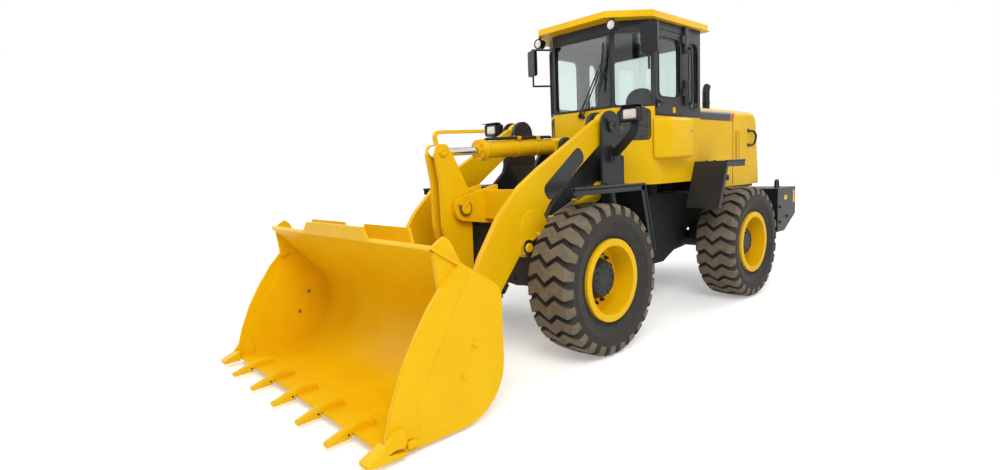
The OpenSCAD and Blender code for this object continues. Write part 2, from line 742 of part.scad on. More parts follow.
// How far the roof stands out over the back, the sides, the windscreen and the door posts
roof_out = [120, 55, 180, 110];
roof_rear_x = cab_rear_x - roof_out[0];
roof_half_w = cab_half_w + roof_out[1];
roof_front_x = cab_front_x + roof_out[2];
roof_corner_x = cab_post_x + roof_out[3];
roof_nose_half_w = 450;
roof_r = 60;
module cab_roof() color(paint) row() translate([0, 0, cab_top_z]) linear_extrude(roof_t)
    polygon(rounded([
        [roof_rear_x, -roof_half_w], [roof_corner_x, -roof_half_w],
        [roof_front_x - roof_r, -roof_nose_half_w - roof_r],
        [roof_front_x, -roof_nose_half_w], [roof_front_x, roof_nose_half_w],
        [roof_front_x - roof_r, roof_nose_half_w + roof_r],
        [roof_corner_x, roof_half_w], [roof_rear_x, roof_half_w]
    ], [roof_r, roof_r, roof_r / 2, roof_r / 2, roof_r / 2, roof_r / 2, roof_r, roof_r]));

// Doors: a half door on the left, a full door with the ladder on the right

module hinge_leaf(zs) for (z = zs) difference() {
    translate([0, 0, z + door_hinge_len + pass / 2]) linear_extrude(door_hinge_len - pass) {
        translate(door_hinge) circle(door_hinge_r);
        translate([door_hinge[0], cab_half_w]) square([4 * door_hinge_r, hinge_out + door_hinge_r / 2]);
        translate([door_x[0] + 2 * door_hinge_r, cab_half_w - over]) square([door_hinge_r, hinge_out]);
    }
    translate([door_hinge[0], door_hinge[1], z]) cylinder(r = door_pin_r + fit, h = 3 * door_hinge_len);
}
module door_leaf(low, zs) {
    difference() {
        plate(cab_half_w - cab_t, cab_t) difference() {
            door_outline(low, door_gap);
            door_window();
        }
        translate([door_hinge[0], door_hinge[1], low - over])
            cylinder(r = door_hinge_r + door_gap, h = door_top_z - low + 2 * over);
    }
    hinge_leaf(zs);
}
module door_pane() plate(cab_half_w - (cab_t + glass_t) / 2, glass_t) door_window();
module door_left() color(dark) row() door_leaf(half_door_low_z, left_hinge_z);
module door_left_glass() color(clear) row() door_pane();
module door_right() color(dark) row() mirror([0, 1, 0]) door_leaf(door_low_z, right_hinge_z);
module door_right_glass() color(clear) row() mirror([0, 1, 0]) door_pane();

// Cab inside: seat and steering column

seat_in = 370;
seat_x = cab_rear_x + seat_in;
seat_half_w = 240;
seat_base_z = 480;
cushion_t = 120;
seat_depth = 480;
back_t = 130;
back_h = 560;
back_lean = 10;
seat_r = 45;
module seat() color(black) row() translate([seat_x, 0, cab_low_z + cab_floor_t]) {
    block([-seat_half_w / 2, -seat_half_w / 2, 0], [seat_half_w / 2, seat_half_w / 2, seat_base_z]);
    translate([0, seat_half_w, seat_base_z]) rotate([90, 0, 0]) linear_extrude(2 * seat_half_w)
        pane([-seat_depth / 2, 0], [seat_depth / 2, cushion_t], seat_r);
    translate([-seat_depth / 2 + back_t, seat_half_w, seat_base_z + cushion_t - over])
        rotate([0, -back_lean, 0]) rotate([90, 0, 0]) linear_extrude(2 * seat_half_w)
            pane([-back_t, 0], [0, back_h], seat_r);
}
column_back = 240;
column_x = cab_front_x - column_back;
column_half = 70;
column_h = 480;
column_lean = 25;
column_r = 32;
column_len = 330;
wheel_r = 200;
wheel_tube_r = 16;
module steering_column() color(black) row() translate([column_x, 0, cab_low_z + cab_floor_t]) {
    block([-column_half, -column_half, 0], [column_half, column_half, column_h]);
    translate([0, 0, column_h - column_r]) rotate([0, -column_lean, 0]) {
        cylinder(r = column_r, h = column_len);
        translate([0, 0, column_len]) rotate_extrude() translate([wheel_r, 0]) circle(wheel_tube_r, $fn = 24);
        for (a = [90, 210, 330])
            rotate([0, 0, a]) translate([0, 0, column_len]) rotate([0, 90, 0])
                cylinder(r = wheel_tube_r / 2, h = wheel_r);
        translate([0, 0, column_len - column_r / 2]) cylinder(r = column_r, h = column_r);
    }
}

// Fittings on the cab and deck

box_z = [1700, 2130];
box_out = 130;
box_in = 5;
box_ahead = 60;
box_x = [door_x[0] + box_in, cab_post_x + box_ahead];
box_r = 90;
module side_box() color(paint) row() translate([0, 0, box_z[0]]) linear_extrude(box_z[1] - box_z[0])
    difference() {
        polygon(rounded([
            [box_x[0], cab_half_w - cab_t], [box_x[1] + box_out, cab_half_w - cab_t],
            [box_x[1] - box_out, cab_half_w + box_out], [box_x[0], cab_half_w + box_out]
        ], [0, 0, box_r, box_r / 2]));
        polygon(cab_plan);
    }

ladder_in = 25;
ladder_len = 390;
ladder_x = [door_x[0] + ladder_in, door_x[0] + ladder_in + ladder_len];
ladder_out = 320;
ladder_low_z = 520;
ladder_t = 25;
ladder_w = 90;
rung_z = [560, 850, 1140];
platform_in = 120;
module ladder() color(black) row() {
    block([ladder_x[0], -cab_half_w - ladder_out, cab_low_z - ladder_t],
        [ladder_x[1], platform_in - cab_half_w, cab_low_z]);
    for (x = [ladder_x[0], ladder_x[1] - ladder_t])
        block([x, -cab_half_w - ladder_out, ladder_low_z],
            [x + ladder_t, ladder_w - cab_half_w - ladder_out, cab_low_z - fit]);
    for (z = rung_z)
        block([ladder_x[0], -cab_half_w - ladder_out, z],
            [ladder_x[1], ladder_w - cab_half_w - ladder_out, z + ladder_t]);
}

wing_half_w = 1100;
wing_t = 30;
wing_top_z = 1650;
wing_gap = 60;
wing_slope = 210;
wing_x = [210, ladder_x[0] - wing_gap - wing_slope, ladder_x[0] - wing_gap];
wing_low_z = 1130;
wing_edge = 40;
module wing_line(d) polygon([
    [wing_x[0], wing_top_z], [wing_x[0], wing_top_z - d], [wing_x[1] - d / 2, wing_top_z - d],
    [wing_x[2] - d, wing_low_z], [wing_x[2], wing_low_z], [wing_x[1], wing_top_z]
]);
module rear_fenders() color(dark) row() both() {
    plate(cab_half_w, wing_half_w - cab_half_w) wing_line(wing_t);
    plate(wing_half_w - wing_t / 2, wing_t / 2) wing_line(wing_t + wing_edge);
    plate(cab_half_w, wing_t / 2) polygon([
        [wing_x[1] - wing_t, wing_top_z - wing_t], [wing_x[0] + arch_half, wing_top_z - wing_t],
        [wing_x[1] - arch_half / 2, deck_z - deck_t], [wing_x[2] - 2 * wing_t, deck_z - deck_t]
    ]);
}

mirror_back = 95;
mirror_x = cab_front_x - mirror_back;
mirror_out = 75;
mirror_y = cab_half_w + mirror_out;
mirror_drop = 375;
mirror_z = cab_top_z - mirror_drop;
mirror_turn = 20;
mirror_foot = [40, 38];
mirror_h = 300;
mirror_w = 170;
mirror_t = 40;
mirror_tube_r = 11;
mirror_arm_drop = [495, 65];
mirror_arm_z = [for (d = mirror_arm_drop) cab_top_z - d];
module mirrors() color(black) row() both() {
    translate([mirror_x, mirror_y, mirror_z]) rotate([0, 0, mirror_turn]) rotate([90, 0, 90])
        linear_extrude(mirror_t)
            pane([-mirror_w / 2, 0], [mirror_w / 2, mirror_h], mirror_t / 2);
    start = [cab_post_x + mirror_foot[0], cab_half_w - mirror_foot[1]];
    reach = [mirror_x + mirror_t / 2, mirror_y] - start;
    for (z = mirror_arm_z)
        translate([start[0], start[1], z]) rotate([0, 0, atan2(reach[1], reach[0])]) rotate([0, 90, 0])
            cylinder(r = mirror_tube_r, h = norm(reach));
    translate([start[0] + reach[0], start[1] + reach[1], mirror_arm_z[0] - mirror_tube_r])
        cylinder(r = mirror_tube_r, h = mirror_arm_z[1] - mirror_arm_z[0] + 2 * mirror_tube_r);
}

lamp_y = 500;
lamp_r = 52;
lamp_deep = 70;
lamp_stem_r = 12;
lamp_drop = 75;
module roof_lamps() color(black) row() both() {
    lamp_z = cab_top_z - lamp_drop;
    translate([cab_front_x + lamp_deep, lamp_y, lamp_z]) rotate([0, 90, 0])
        cylinder(r = lamp_r, h = lamp_deep);
    translate([cab_front_x + 1.5 * lamp_deep, lamp_y, lamp_z])
        cylinder(r = lamp_stem_r, h = cab_top_z - lamp_z);
}

// Front frame: side plates that rise into the tower's inner ears, outer ears, hinge tongues and pins

bulk_ahead = 330;
front_bulk_x = pivot_x + bulk_ahead;
tongue_half = 30;
tongue_half_w = 250;
ear_in_y = boom_y - ear_gap / 2 - ear_in_t;
ear_out_y = boom_y + ear_gap / 2;
nose_ahead = 270;
nose_x = wheelbase + nose_ahead;
nose_z = [560, 1080];
notch = [250, 170, 200];
tower_back = 210;
tower_rear_x = boom_pivot[0] - tower_back;
tower_z = [1200, 1680];
tower_ahead = 260;
tower_front_x = boom_pivot[0] + tower_ahead;
shoulder = [[90, 1300], [-290, 1620]];
ear_foot_z = 1200;
lift_base_from_pivot = [30, -610];
lift_base = boom_pivot + lift_base_from_pivot;
lift_pin_r = 32;
tilt_base_from_pivot = [6, -158];
tilt_base = boom_pivot + tilt_base_from_pivot;
tilt_pin_r = 38;
tilt_lug_r = 88;
tilt_lug_y = 100;
tilt_lug_t = 40;
brace_t = 30;

side_outline = [
    [front_bulk_x, belly_z], [wheelbase - notch[0], belly_z], [wheelbase - notch[1], front_pad_z],
    [wheelbase + notch[1], front_pad_z], [wheelbase + notch[2], nose_z[0]],
    [nose_x, nose_z[0]], [nose_x, nose_z[1]],
    [wheelbase + shoulder[0][0], shoulder[0][1]], [wheelbase + shoulder[1][0], shoulder[1][1]],
    [boom_pivot[0] + ear_r, boom_pivot[1]], [boom_pivot[0] - ear_r, boom_pivot[1]],
    [tower_rear_x - rail_t, tower_z[0]], [front_bulk_x, tower_z[0]]
];
module front_frame() color(dark) row() {
    both() {
        plate(ear_in_y, ear_in_t) {
            polygon(side_outline);
            translate(boom_pivot) circle(ear_r);
        }
        plate(ear_out_y, ear_out_t) {
            translate(boom_pivot) circle(ear_r);
            polygon([
                [boom_pivot[0] + ear_r, boom_pivot[1]], [boom_pivot[0] - ear_r, boom_pivot[1]],
                [tower_rear_x, ear_foot_z], [boom_pivot[0] + ear_r, ear_foot_z]
            ]);
        }
        block([tower_rear_x, ear_in_y, ear_foot_z],
            [tower_rear_x + brace_t, ear_out_y + ear_out_t, boom_pivot_z - 2 * ear_r]);
        cross_pin(boom_pivot, boom_pin_r, ear_in_y, ear_out_y + ear_out_t + brace_t / 2);
        cross_pin(lift_base, lift_pin_r, ear_in_y, ear_out_y + ear_out_t);
        plate(tilt_lug_y, tilt_lug_t) {
            translate(tilt_base) circle(tilt_lug_r);
            polygon([
                [tower_rear_x + brace_t, tower_z[1] - over], [tower_front_x - brace_t, tower_z[1] - over],
                [tilt_base[0] + tilt_lug_r, tilt_base[1]], [tilt_base[0] - tilt_lug_r, tilt_base[1]]
            ]);
        }
        steer_lugs(steer_rod_end, [
            steer_rod_end - [0, steer_eye_r], [front_bulk_x + over, steer_rod_end[1] - steer_eye_r],
            [front_bulk_x + over, steer_rod_end[1] + steer_eye_r], steer_rod_end + [0, steer_eye_r]
        ]);
    }
    cross_pin(tilt_base, tilt_pin_r, -tilt_lug_y - tilt_lug_t, tilt_lug_y + tilt_lug_t);
    block([tower_rear_x, -boom_y, tower_z[0]], [tower_rear_x + brace_t, boom_y, tower_z[1]]);
    block([tower_rear_x, -ear_in_y - over, tower_z[1] - brace_t],
        [tower_front_x, ear_in_y + over, tower_z[1]]);
    block([tower_front_x - brace_t, -ear_in_y - over, tower_z[0]],
        [tower_front_x, ear_in_y + over, tower_z[1]]);
    block([nose_x - brace_t, -ear_in_y - over, nose_z[0]], [nose_x, ear_in_y + over, nose_z[1]]);
    block([front_bulk_x, -ear_in_y - ear_in_t, belly_z],
        [front_bulk_x + rail_t, ear_in_y + ear_in_t, tower_z[0]]);
    for (z = [hinge_low_z, hinge_top_z])
        translate([0, 0, z - tongue_half]) linear_extrude(2 * tongue_half) difference() {
            hinge_eye(front_bulk_x + over, tongue_half_w);
            translate([pivot_x, 0]) circle(hinge_pin_r + fit);
        }
}

front_wing_half_w = 1050;
front_wing_t = 20;
flap_gap = 115;
flap_lean = 160;
flap_x = -tyre_d / 2 - flap_gap;
front_wing_ahead = 400;
front_wing_x = [flap_x + flap_lean, front_wing_ahead];
fender_top_z = tyre_d + fender_gap + front_wing_t;
flap_z = 820;
front_lip = 60;
module front_fender_line(d) polygon([
    [wheelbase + front_wing_x[0], fender_top_z], [wheelbase + flap_x, flap_z], [wheelbase + flap_x + d, flap_z],
    [wheelbase + front_wing_x[0] + d / 2, fender_top_z - d], [wheelbase + front_wing_x[1], fender_top_z - d],
    [wheelbase + front_wing_x[1], fender_top_z]
]);
module front_fenders() color(dark) row() both() {
    inner = ear_out_y + ear_out_t;
    plate(inner, front_wing_half_w - inner) front_fender_line(front_wing_t);
    plate(front_wing_half_w - front_wing_t, front_wing_t) front_fender_line(front_lip);
}

head_ahead = 10;
head_x = boom_pivot[0] + head_ahead;
head_y = 950;
head_z = 2040;
head_size = [110, 220, 150];
head_arm_t = 16;
head_arm_w = 90;
head_arm_z = 1800;
module headlights() color(black) row() both() {
    inner = ear_out_y + ear_out_t;
    translate([head_x - head_size[0] / 2, head_y - head_size[1] / 2, head_z]) cube(head_size);
    block([head_x - head_arm_w / 2, inner, head_arm_z],
        [head_x + head_arm_w / 2, head_y + head_arm_t, head_arm_z + head_arm_t]);
    block([head_x - head_arm_w / 2, head_y, head_arm_z],
        [head_x + head_arm_w / 2, head_y + head_arm_t, head_z]);
}

// Boom: two bent arms, the cross beam and the brackets of the rocker

boom_root_r = 128;
boom_tip_r = 118;
boom_boss_r = 92;
boom_boss_half = 62;
lift_lug_r = 85;
beam_shares = [[0.555, -0.51], [0.655, -0.35]];
bracket_y = 95;
bracket_t = 40;
bracket_r = 112;
bracket_root_shares = [[0.56, -0.32], [0.56, -0.55]];
rocker_pin_r = 45;
boom_shares = [
    [0.077, 0.0375], [0.302, -0.1], [0.533, -0.2375], [0.67, -0.331], [0.808, -0.475], [0.929, -0.669],
    [1.06, -0.97], [0.95, -1.05], [0.791, -0.825], [0.687, -0.69], [0.6085, -0.598], [0.5849, -0.566],
    [0.538, -0.531], [0.467, -0.425], [0.269, -0.269], [0.077, -0.125], [0, -0.08]
];
boom_round = [0, 300, 300, 300, 300, 300, 0, 0, 60, 0, 0, 0, 60, 100, 300, 0, 0];
module boom() color(paint) row() {
    both() difference() {
        union() {
            plate(boom_y - boom_t / 2, boom_t) {
                polygon(rounded([for (s = boom_shares) on_boom(s)], boom_round));
                translate(boom_pivot) circle(boom_root_r);
                translate(bucket_pin) circle(boom_tip_r);
                translate(lift_eye) circle(lift_lug_r);
            }
            cross_pin(boom_pivot, boom_boss_r, boom_y - boom_boss_half, boom_y + boom_boss_half);
            cross_pin(bucket_pin, boom_boss_r, boom_y - boom_boss_half, boom_y + boom_boss_half);
        }
        cross_pin(boom_pivot, boom_pin_r + fit, 0, 2 * boom_y);
        cross_pin(bucket_pin, bucket_pin_r + fit, 0, 2 * boom_y);
    }
    beam_low = on_boom(beam_shares[0]);
    beam_top = on_boom(beam_shares[1]);
    block([beam_low[0], over - boom_y, beam_low[1]], [beam_top[0], boom_y - over, beam_top[1]]);
    both() plate(bracket_y, bracket_t) difference() {
        union() {
            translate(rocker_pivot) circle(bracket_r);
            polygon([
                rocker_pivot + [0, bracket_r], on_boom(bracket_root_shares[0]), on_boom(bracket_root_shares[1]),
                rocker_pivot - [0, bracket_r]
            ]);
        }
        translate(rocker_pivot) circle(rocker_pin_r + fit);
    }
}

// Rocker, its pin, and the link to the bucket

rocker_half = rocker_gap / 2 + rocker_t;
rocker_hub_r = 105;
rocker_cap_r = 46;
rocker_cap_t = 6;
pin_head_r = 68;
pin_head_t = 14;
rocker_shares = [
    [0.853, -0.088], [0.912, -0.085], [0.926, -0.14], [0.902, -0.3], [0.9, -0.54], [0.806, -0.885],
    [0.767, -0.917], [0.723, -0.89], [0.718, -0.76], [0.716, -0.52], [0.724, -0.35], [0.812, -0.163]
];
rocker_round = [50, 50, 40, 100, 150, 60, 40, 50, 80, 80, 150, 80];
module rocker() color(paint) row() difference() {
    union() {
        both() {
            plate(rocker_gap / 2, rocker_t)
                polygon(rounded([for (s = rocker_shares) on_boom(s)], rocker_round));
            cross_pin(rocker_top, rocker_cap_r, rocker_half - over, rocker_half + rocker_cap_t);
            cross_pin(rocker_low, rocker_cap_r, rocker_half - over, rocker_half + rocker_cap_t);
        }
        cross_pin(rocker_pivot, rocker_hub_r, -rocker_half, rocker_half);
    }
    cross_pin(rocker_pivot, rocker_pin_r + fit, -rocker_half - over, rocker_half + over);
}
module rocker_pin() color(steel) row() {
    head = bracket_y + bracket_t + face_gap;
    cross_pin(rocker_pivot, rocker_pin_r, -head, head);
    both() cross_pin(rocker_pivot, pin_head_r, head, head + pin_head_t);
}

link_half = rocker_gap / 2 - pass;
link_eye_r = 62;
link_low_r = 70;
link_boss_half = 84;
link_boss_r = 54;
link_pin_r = 30;
lug_y = 90;
lug_t = 35;
lug_r = 68;
module link() color(paint) row() difference() {
    union() {
        plate(-link_half, 2 * link_half) strap(bucket_lug, link_eye_r, rocker_low, link_low_r);
        cross_pin(bucket_lug, link_boss_r, -link_boss_half, link_boss_half);
    }
    cross_pin(bucket_lug, link_pin_r + fit, -link_boss_half - over, link_boss_half + over);
}
module link_pin() color(steel) row()
    cross_pin(bucket_lug, link_pin_r, -lug_y - lug_t - over, lug_y + lug_t + over);

// Bucket: bent shell, side plates, cutting edge, lip, back lugs and teeth

shell_lean = 540;
shell_back_h = 850;
heel_r = 360;
crown_r = 120;
edge_len = 240;
edge_t = 45;
edge_nose = 60;
pin_lug_y = [485, 668];
pin_lug_t = 45;
pin_lug_r = 105;
guard_h = 70;
guard_half_w = [420, 480];
guard_t = 22;
rib_y = [90, 830];
rib_in = 355;
rib_x = bucket_back_x + rib_in;
rib_foot_share = 0.18;
edge_lip = 30;
// Roots of the lugs on the back wall, as shares of the lug's radius below and above its pin
pin_root_shares = [2, 2.6];
link_root_shares = [2.4, 1.8];
// Where the cheek leaves the leaning top of the shell, as a share of its length
cheek_top_share = 0.626;
rib_top = 1255;
rib_t = 20;
shell_path = [
    [bucket_edge_x - edge_len / 2, bucket_low_z], [bucket_back_x, bucket_low_z],
    [bucket_back_x, bucket_low_z + shell_back_h], [bucket_back_x + shell_lean, bucket_low_z + bucket_height]
];
rib_foot_z = shell_path[2][1] + bucket_height * rib_foot_share;
// The same bent line moved into the bucket by the thickness of the shell
lean_dir = unit([shell_lean, bucket_height - shell_back_h]);
lean_in = [lean_dir[1], -lean_dir[0]];
bend_drop = bucket_t * (1 - lean_in[0]) / lean_dir[0] * lean_dir[1] + bucket_t * lean_in[1];
shell_inner = [
    [bucket_edge_x - edge_len / 2, bucket_low_z + bucket_t],
    [bucket_back_x + bucket_t, bucket_low_z + bucket_t],
    [bucket_back_x + bucket_t, bucket_low_z + shell_back_h + bend_drop],
    [bucket_back_x + shell_lean, bucket_low_z + bucket_height] + bucket_t * lean_in
];
module shell_outline() polygon(concat(
    [shell_path[0]], bend(shell_path[0], shell_path[1], shell_path[2], heel_r),
    bend(shell_path[1], shell_path[2], shell_path[3], crown_r), [shell_path[3], shell_inner[3]],
    bend(shell_inner[3], shell_inner[2], shell_inner[1], crown_r - bucket_t),
    bend(shell_inner[2], shell_inner[1], shell_inner[0], heel_r - bucket_t), [shell_inner[0]]
));
// Arc that rounds the corner b of the line a, b, c
function bend(a, b, c, r, n = 8) =
    let (
        u = unit(a - b), v = unit(c - b), half = acos(u * v) / 2, o = b + unit(u + v) * r / sin(half),
        s = b + u * r / tan(half) - o, e = b + v * r / tan(half) - o, a0 = atan2(s[1], s[0]),
        turn = (atan2(e[1], e[0]) - a0 + 540) % 360 - 180
    )
    [for (k = [0 : n]) o + r * [cos(a0 + turn * k / n), sin(a0 + turn * k / n)]];
mouth_shares = [[0.515, 0.79], [0.63, 0.69], [0.745, 0.56], [0.855, 0.41], [0.945, 0.24], [1, 0.09]];
// Tabs that close the ends of the lip above the cheeks
ear_shares = [
    [0.3, 0.83], [0.42, 1.01], [0.46, 1.035], [0.51, 1.015], [0.565, 0.985], [0.525, 0.75], [0.4, 0.78]
];
function in_bucket(s) = [bucket_back_x + s[0] * bucket_depth, bucket_low_z + s[1] * bucket_height];
module cheek_outline() polygon(concat(
    [[bucket_edge_x, bucket_low_z + edge_t], [bucket_edge_x - edge_nose, bucket_low_z]],
    bend(shell_path[0], shell_path[1], shell_path[2], heel_r),
    bend(shell_path[1], shell_path[2], shell_path[3], crown_r),
    [shell_path[2] + cheek_top_share * (shell_path[3] - shell_path[2])], [for (s = mouth_shares) in_bucket(s)]
));
module bucket() color(paint) row() difference() {
    union() {
        plate(-bucket_half_w + over, 2 * (bucket_half_w - over)) shell_outline();
        both() {
            plate(bucket_half_w - bucket_t, bucket_t) cheek_outline();
            plate(bucket_half_w - 2 * bucket_t, bucket_t + over) polygon([for (s = ear_shares) in_bucket(s)]);
        }
        plate(-bucket_half_w, 2 * bucket_half_w) polygon([
            [bucket_edge_x - edge_len, bucket_low_z], [bucket_edge_x - edge_nose, bucket_low_z],
            [bucket_edge_x, bucket_low_z + edge_lip], [bucket_edge_x, bucket_low_z + edge_t],
            [bucket_edge_x - edge_len, bucket_low_z + edge_t]
        ]);
        bulkhead(shell_path[3][0] - guard_t, guard_t) polygon([
            [-guard_half_w[1], shell_path[3][1] - bucket_t], [guard_half_w[1], shell_path[3][1] - bucket_t],
            [guard_half_w[0], shell_path[3][1] + guard_h], [-guard_half_w[0], shell_path[3][1] + guard_h]
        ]);
        both() bulkhead(rib_x, rib_t) polygon([
            [rib_y[0], rib_foot_z], [rib_y[1], rib_foot_z],
            [rib_y[1] - guard_h, bucket_low_z + rib_top], [rib_y[0] + guard_h, bucket_low_z + rib_top]
        ]);
        both() for (y = pin_lug_y) plate(y, pin_lug_t) {
            translate(bucket_pin) circle(pin_lug_r);
            polygon([
                bucket_pin + [0, pin_lug_r], bucket_pin - [0, pin_lug_r],
                [bucket_back_x + 2 * bucket_t, bucket_pin[1] - pin_root_shares[0] * pin_lug_r],
                [bucket_back_x + bucket_t / 2, bucket_pin[1] + pin_root_shares[1] * pin_lug_r]
            ]);
        }
        both() plate(lug_y, lug_t) {
            translate(bucket_lug) circle(lug_r);
            polygon([
                bucket_lug + [0, lug_r], bucket_lug - [0, lug_r],
                [bucket_back_x + bucket_t / 2, bucket_lug[1] - link_root_shares[0] * lug_r],
                [bucket_back_x + bucket_t / 2, bucket_lug[1] + link_root_shares[1] * lug_r]
            ]);
        }
    }
    both() cross_pin(bucket_pin, bucket_pin_r + fit, pin_lug_y[0] - over, pin_lug_y[1] + pin_lug_t + over);
    cross_pin(bucket_lug, link_pin_r + fit, -lug_y - lug_t - over, lug_y + lug_t + over);
}
module bucket_pins() color(steel) row() both()
    cross_pin(bucket_pin, bucket_pin_r, pin_lug_y[0] - over, pin_lug_y[1] + pin_lug_t + over);

tooth_w = 62;
tooth_y = [0, 425, 850];
tooth_back = 165;
tooth_h = 75;
heel_h = 40;
tooth_tip = [10, 45];
corner_y = [1195, 1300];
// Side plates of the corner teeth, as shares of the bucket's depth and height
corner_shares = [[0.78, 0.04], [0.79, 0.09], [0.86, 0.145], [0.92, 0.155], [0.99, 0.12], [1, 0.09]];
module tooth_outline() polygon([
    [bucket_edge_x - tooth_back, bucket_low_z + edge_t], [bucket_edge_x, bucket_low_z + edge_t],
    [bucket_edge_x, bucket_low_z + tooth_tip[0]], [front_x, bucket_low_z + tooth_tip[0]],
    [front_x, bucket_low_z + tooth_tip[1]], [bucket_edge_x, bucket_low_z + edge_t + tooth_h],
    [bucket_edge_x - tooth_back, bucket_low_z + edge_t + heel_h]
]);
module bucket_teeth() color(paint) row() both() {
    for (y = tooth_y) plate(y > 0 ? y - tooth_w / 2 : 0, y > 0 ? tooth_w : tooth_w / 2) tooth_outline();
    plate(corner_y[0], corner_y[1] - corner_y[0]) intersection() {
        tooth_outline();
        translate([bucket_edge_x, 0]) square(2 * tooth_reach);
    }
    plate(bucket_half_w, corner_y[1] - bucket_half_w) {
        polygon(concat(
            [for (s = corner_shares) in_bucket(s)], [[bucket_edge_x, bucket_low_z + tooth_tip[0]]]
        ));
        tooth_outline();
    }
}

// Cylinders: the barrel is drawn from its base eye, the rod runs in its bore and ends in an eye

// Neck between the base eye and the barrel, as shares of the eye's and the barrel's radii
neck_len_share = 1.3;
neck_half_share = 0.7;
barrel_from_share = 1.2;
collar_share = 0.25;
module barrel(r, len, eye_r, eye_half, pin_r, rod_r, bore_from, collar) difference() {
    union() {
        rotate([90, 0, 0]) translate([0, 0, -eye_half]) cylinder(r = eye_r, h = 2 * eye_half);
        translate([0, -eye_half, -r * neck_half_share])
            cube([eye_r * neck_len_share, 2 * eye_half, 2 * r * neck_half_share]);
        translate([eye_r * barrel_from_share, 0, 0]) rotate([0, 90, 0])
            cylinder(r = r, h = len - eye_r * barrel_from_share);
        translate([len - collar, 0, 0]) rotate([0, 90, 0]) cylinder(r = r + collar * collar_share, h = collar);
    }
    rotate([90, 0, 0]) translate([0, 0, -eye_half - over])
        cylinder(r = pin_r + fit, h = 2 * (eye_half + over));
    translate([bore_from, 0, 0]) rotate([0, 90, 0]) cylinder(r = rod_r + fit, h = len);
}
module rod_bar(r, from, to) translate([from, 0, 0]) rotate([0, 90, 0]) cylinder(r = r, h = to - from);
module aimed(a, b, y) translate([a[0], y, a[1]]) rotate([0, -atan2(b[1] - a[1], b[0] - a[0]), 0]) children();

// Lift cylinders, whose rods end in forks over the boom arms
lift_len = norm(lift_eye - lift_base);
lift_rod_out = 150;
lift_barrel_len = lift_len - lift_rod_out;
lift_bore_from = 105;
lift_eye_out_r = 74;
lift_rod_from = 120;
lift_collar = 30;
fork_t = 28;
fork_r = 70;
fork_back = 125;
module lift_barrel()
    barrel(lift_barrel_r, lift_barrel_len, lift_eye_out_r, ear_gap / 2 - pass, lift_pin_r, lift_rod_r,
        lift_bore_from, lift_collar);
module lift_rod() {
    rod_bar(lift_rod_r, lift_rod_from, lift_len - fork_back + over);
    gap = boom_t / 2 + pass;
    for (y = [-gap - fork_t, gap])
        translate([0, y, 0]) {
            translate([lift_len, fork_t, 0]) rotate([90, 0, 0]) cylinder(r = fork_r, h = fork_t);
            translate([lift_len - fork_back, 0, -fork_r / 2]) cube([fork_back, fork_t, fork_r]);
        }
    translate([lift_len - fork_back, -gap - fork_t, -fork_r / 2]) cube([fork_t, 2 * (gap + fork_t), fork_r]);
}
module lift_barrel_left() color(paint) row() aimed(lift_base, lift_eye, boom_y) lift_barrel();
module lift_barrel_right() color(paint) row() aimed(lift_base, lift_eye, -boom_y) lift_barrel();
module lift_rod_left() color(steel) row() aimed(lift_base, lift_eye, boom_y) lift_rod();
module lift_rod_right() color(steel) row() aimed(lift_base, lift_eye, -boom_y) lift_rod();

// Tilt cylinder, with the flat level bar on its rod's eye
tilt_len = norm(rocker_top - tilt_base);
tilt_rod_out = 470;
tilt_barrel_len = tilt_len - tilt_rod_out;
tilt_bore_from = 123;
tilt_collar = 70;
tilt_rod_back = 760;
tilt_eye_r = 64;
bar_up = 170;
bar_len = 560;
bar_t = 10;
bar_r = 60;
bar_w = 40;
module tilt_barrel() color(paint) row() aimed(tilt_base, rocker_top, 0)
    barrel(tilt_barrel_r, tilt_barrel_len, tilt_lug_r, tilt_lug_y - pass, tilt_pin_r, tilt_rod_r,
        tilt_bore_from, tilt_collar);
module tilt_rod() color(steel) row() aimed(tilt_base, rocker_top, 0) {
    rod_bar(tilt_rod_r, tilt_len - tilt_rod_back, tilt_len);
    translate([tilt_len, 0, 0]) rotate([90, 0, 0]) translate([0, 0, -link_half])
        cylinder(r = tilt_eye_r, h = 2 * link_half);
}
// Bar that shows the bucket's level, bent down at its front end onto the rod's eye
module level_bar() color(paint) row() aimed(tilt_base, rocker_top, 0)
    plate(-bar_w / 2, bar_w) difference() {
        polygon(rounded([
            [tilt_len - bar_len, bar_up], [tilt_len, bar_up], [tilt_len, 0], [tilt_len + bar_t, 0],
            [tilt_len + bar_t, bar_up + bar_t], [tilt_len - bar_len, bar_up + bar_t]
        ], [0, bar_r, 0, 0, bar_r + bar_t, 0]));
        translate([tilt_len, 0]) circle(tilt_eye_r + fit);
    }

// Steering cylinders, flat between the frames
steer_line = steer_rod_end - steer_base;
steer_len = norm(steer_line);
steer_rod_out = 270;
steer_barrel_len = steer_len - steer_rod_out;
steer_collar = 20;
steer_rod_back = 480;
steer_bore_from = 78;
module steer_pose(side) row() translate([steer_base[0], side * steer_base[1], steer_z])
    rotate([0, 0, side * atan2(steer_line[1], steer_line[0])]) rotate([90, 0, 0]) children();
module steer_barrel()
    barrel(steer_barrel_r, steer_barrel_len, steer_eye_r, steer_gap - pass, steer_pin_r, steer_rod_r,
        steer_bore_from, steer_collar);
module steer_rod() {
    rod_bar(steer_rod_r, steer_len - steer_rod_back, steer_len);
    translate([steer_len, 0, 0]) rotate([90, 0, 0]) translate([0, 0, pass - steer_gap])
        cylinder(r = steer_eye_r - pass, h = 2 * (steer_gap - pass));
}
module steer_barrel_left() color(paint) steer_pose(1) steer_barrel();
module steer_barrel_right() color(paint) steer_pose(-1) steer_barrel();
module steer_rod_left() color(steel) steer_pose(1) steer_rod();
module steer_rod_right() color(steel) steer_pose(-1) steer_rod();

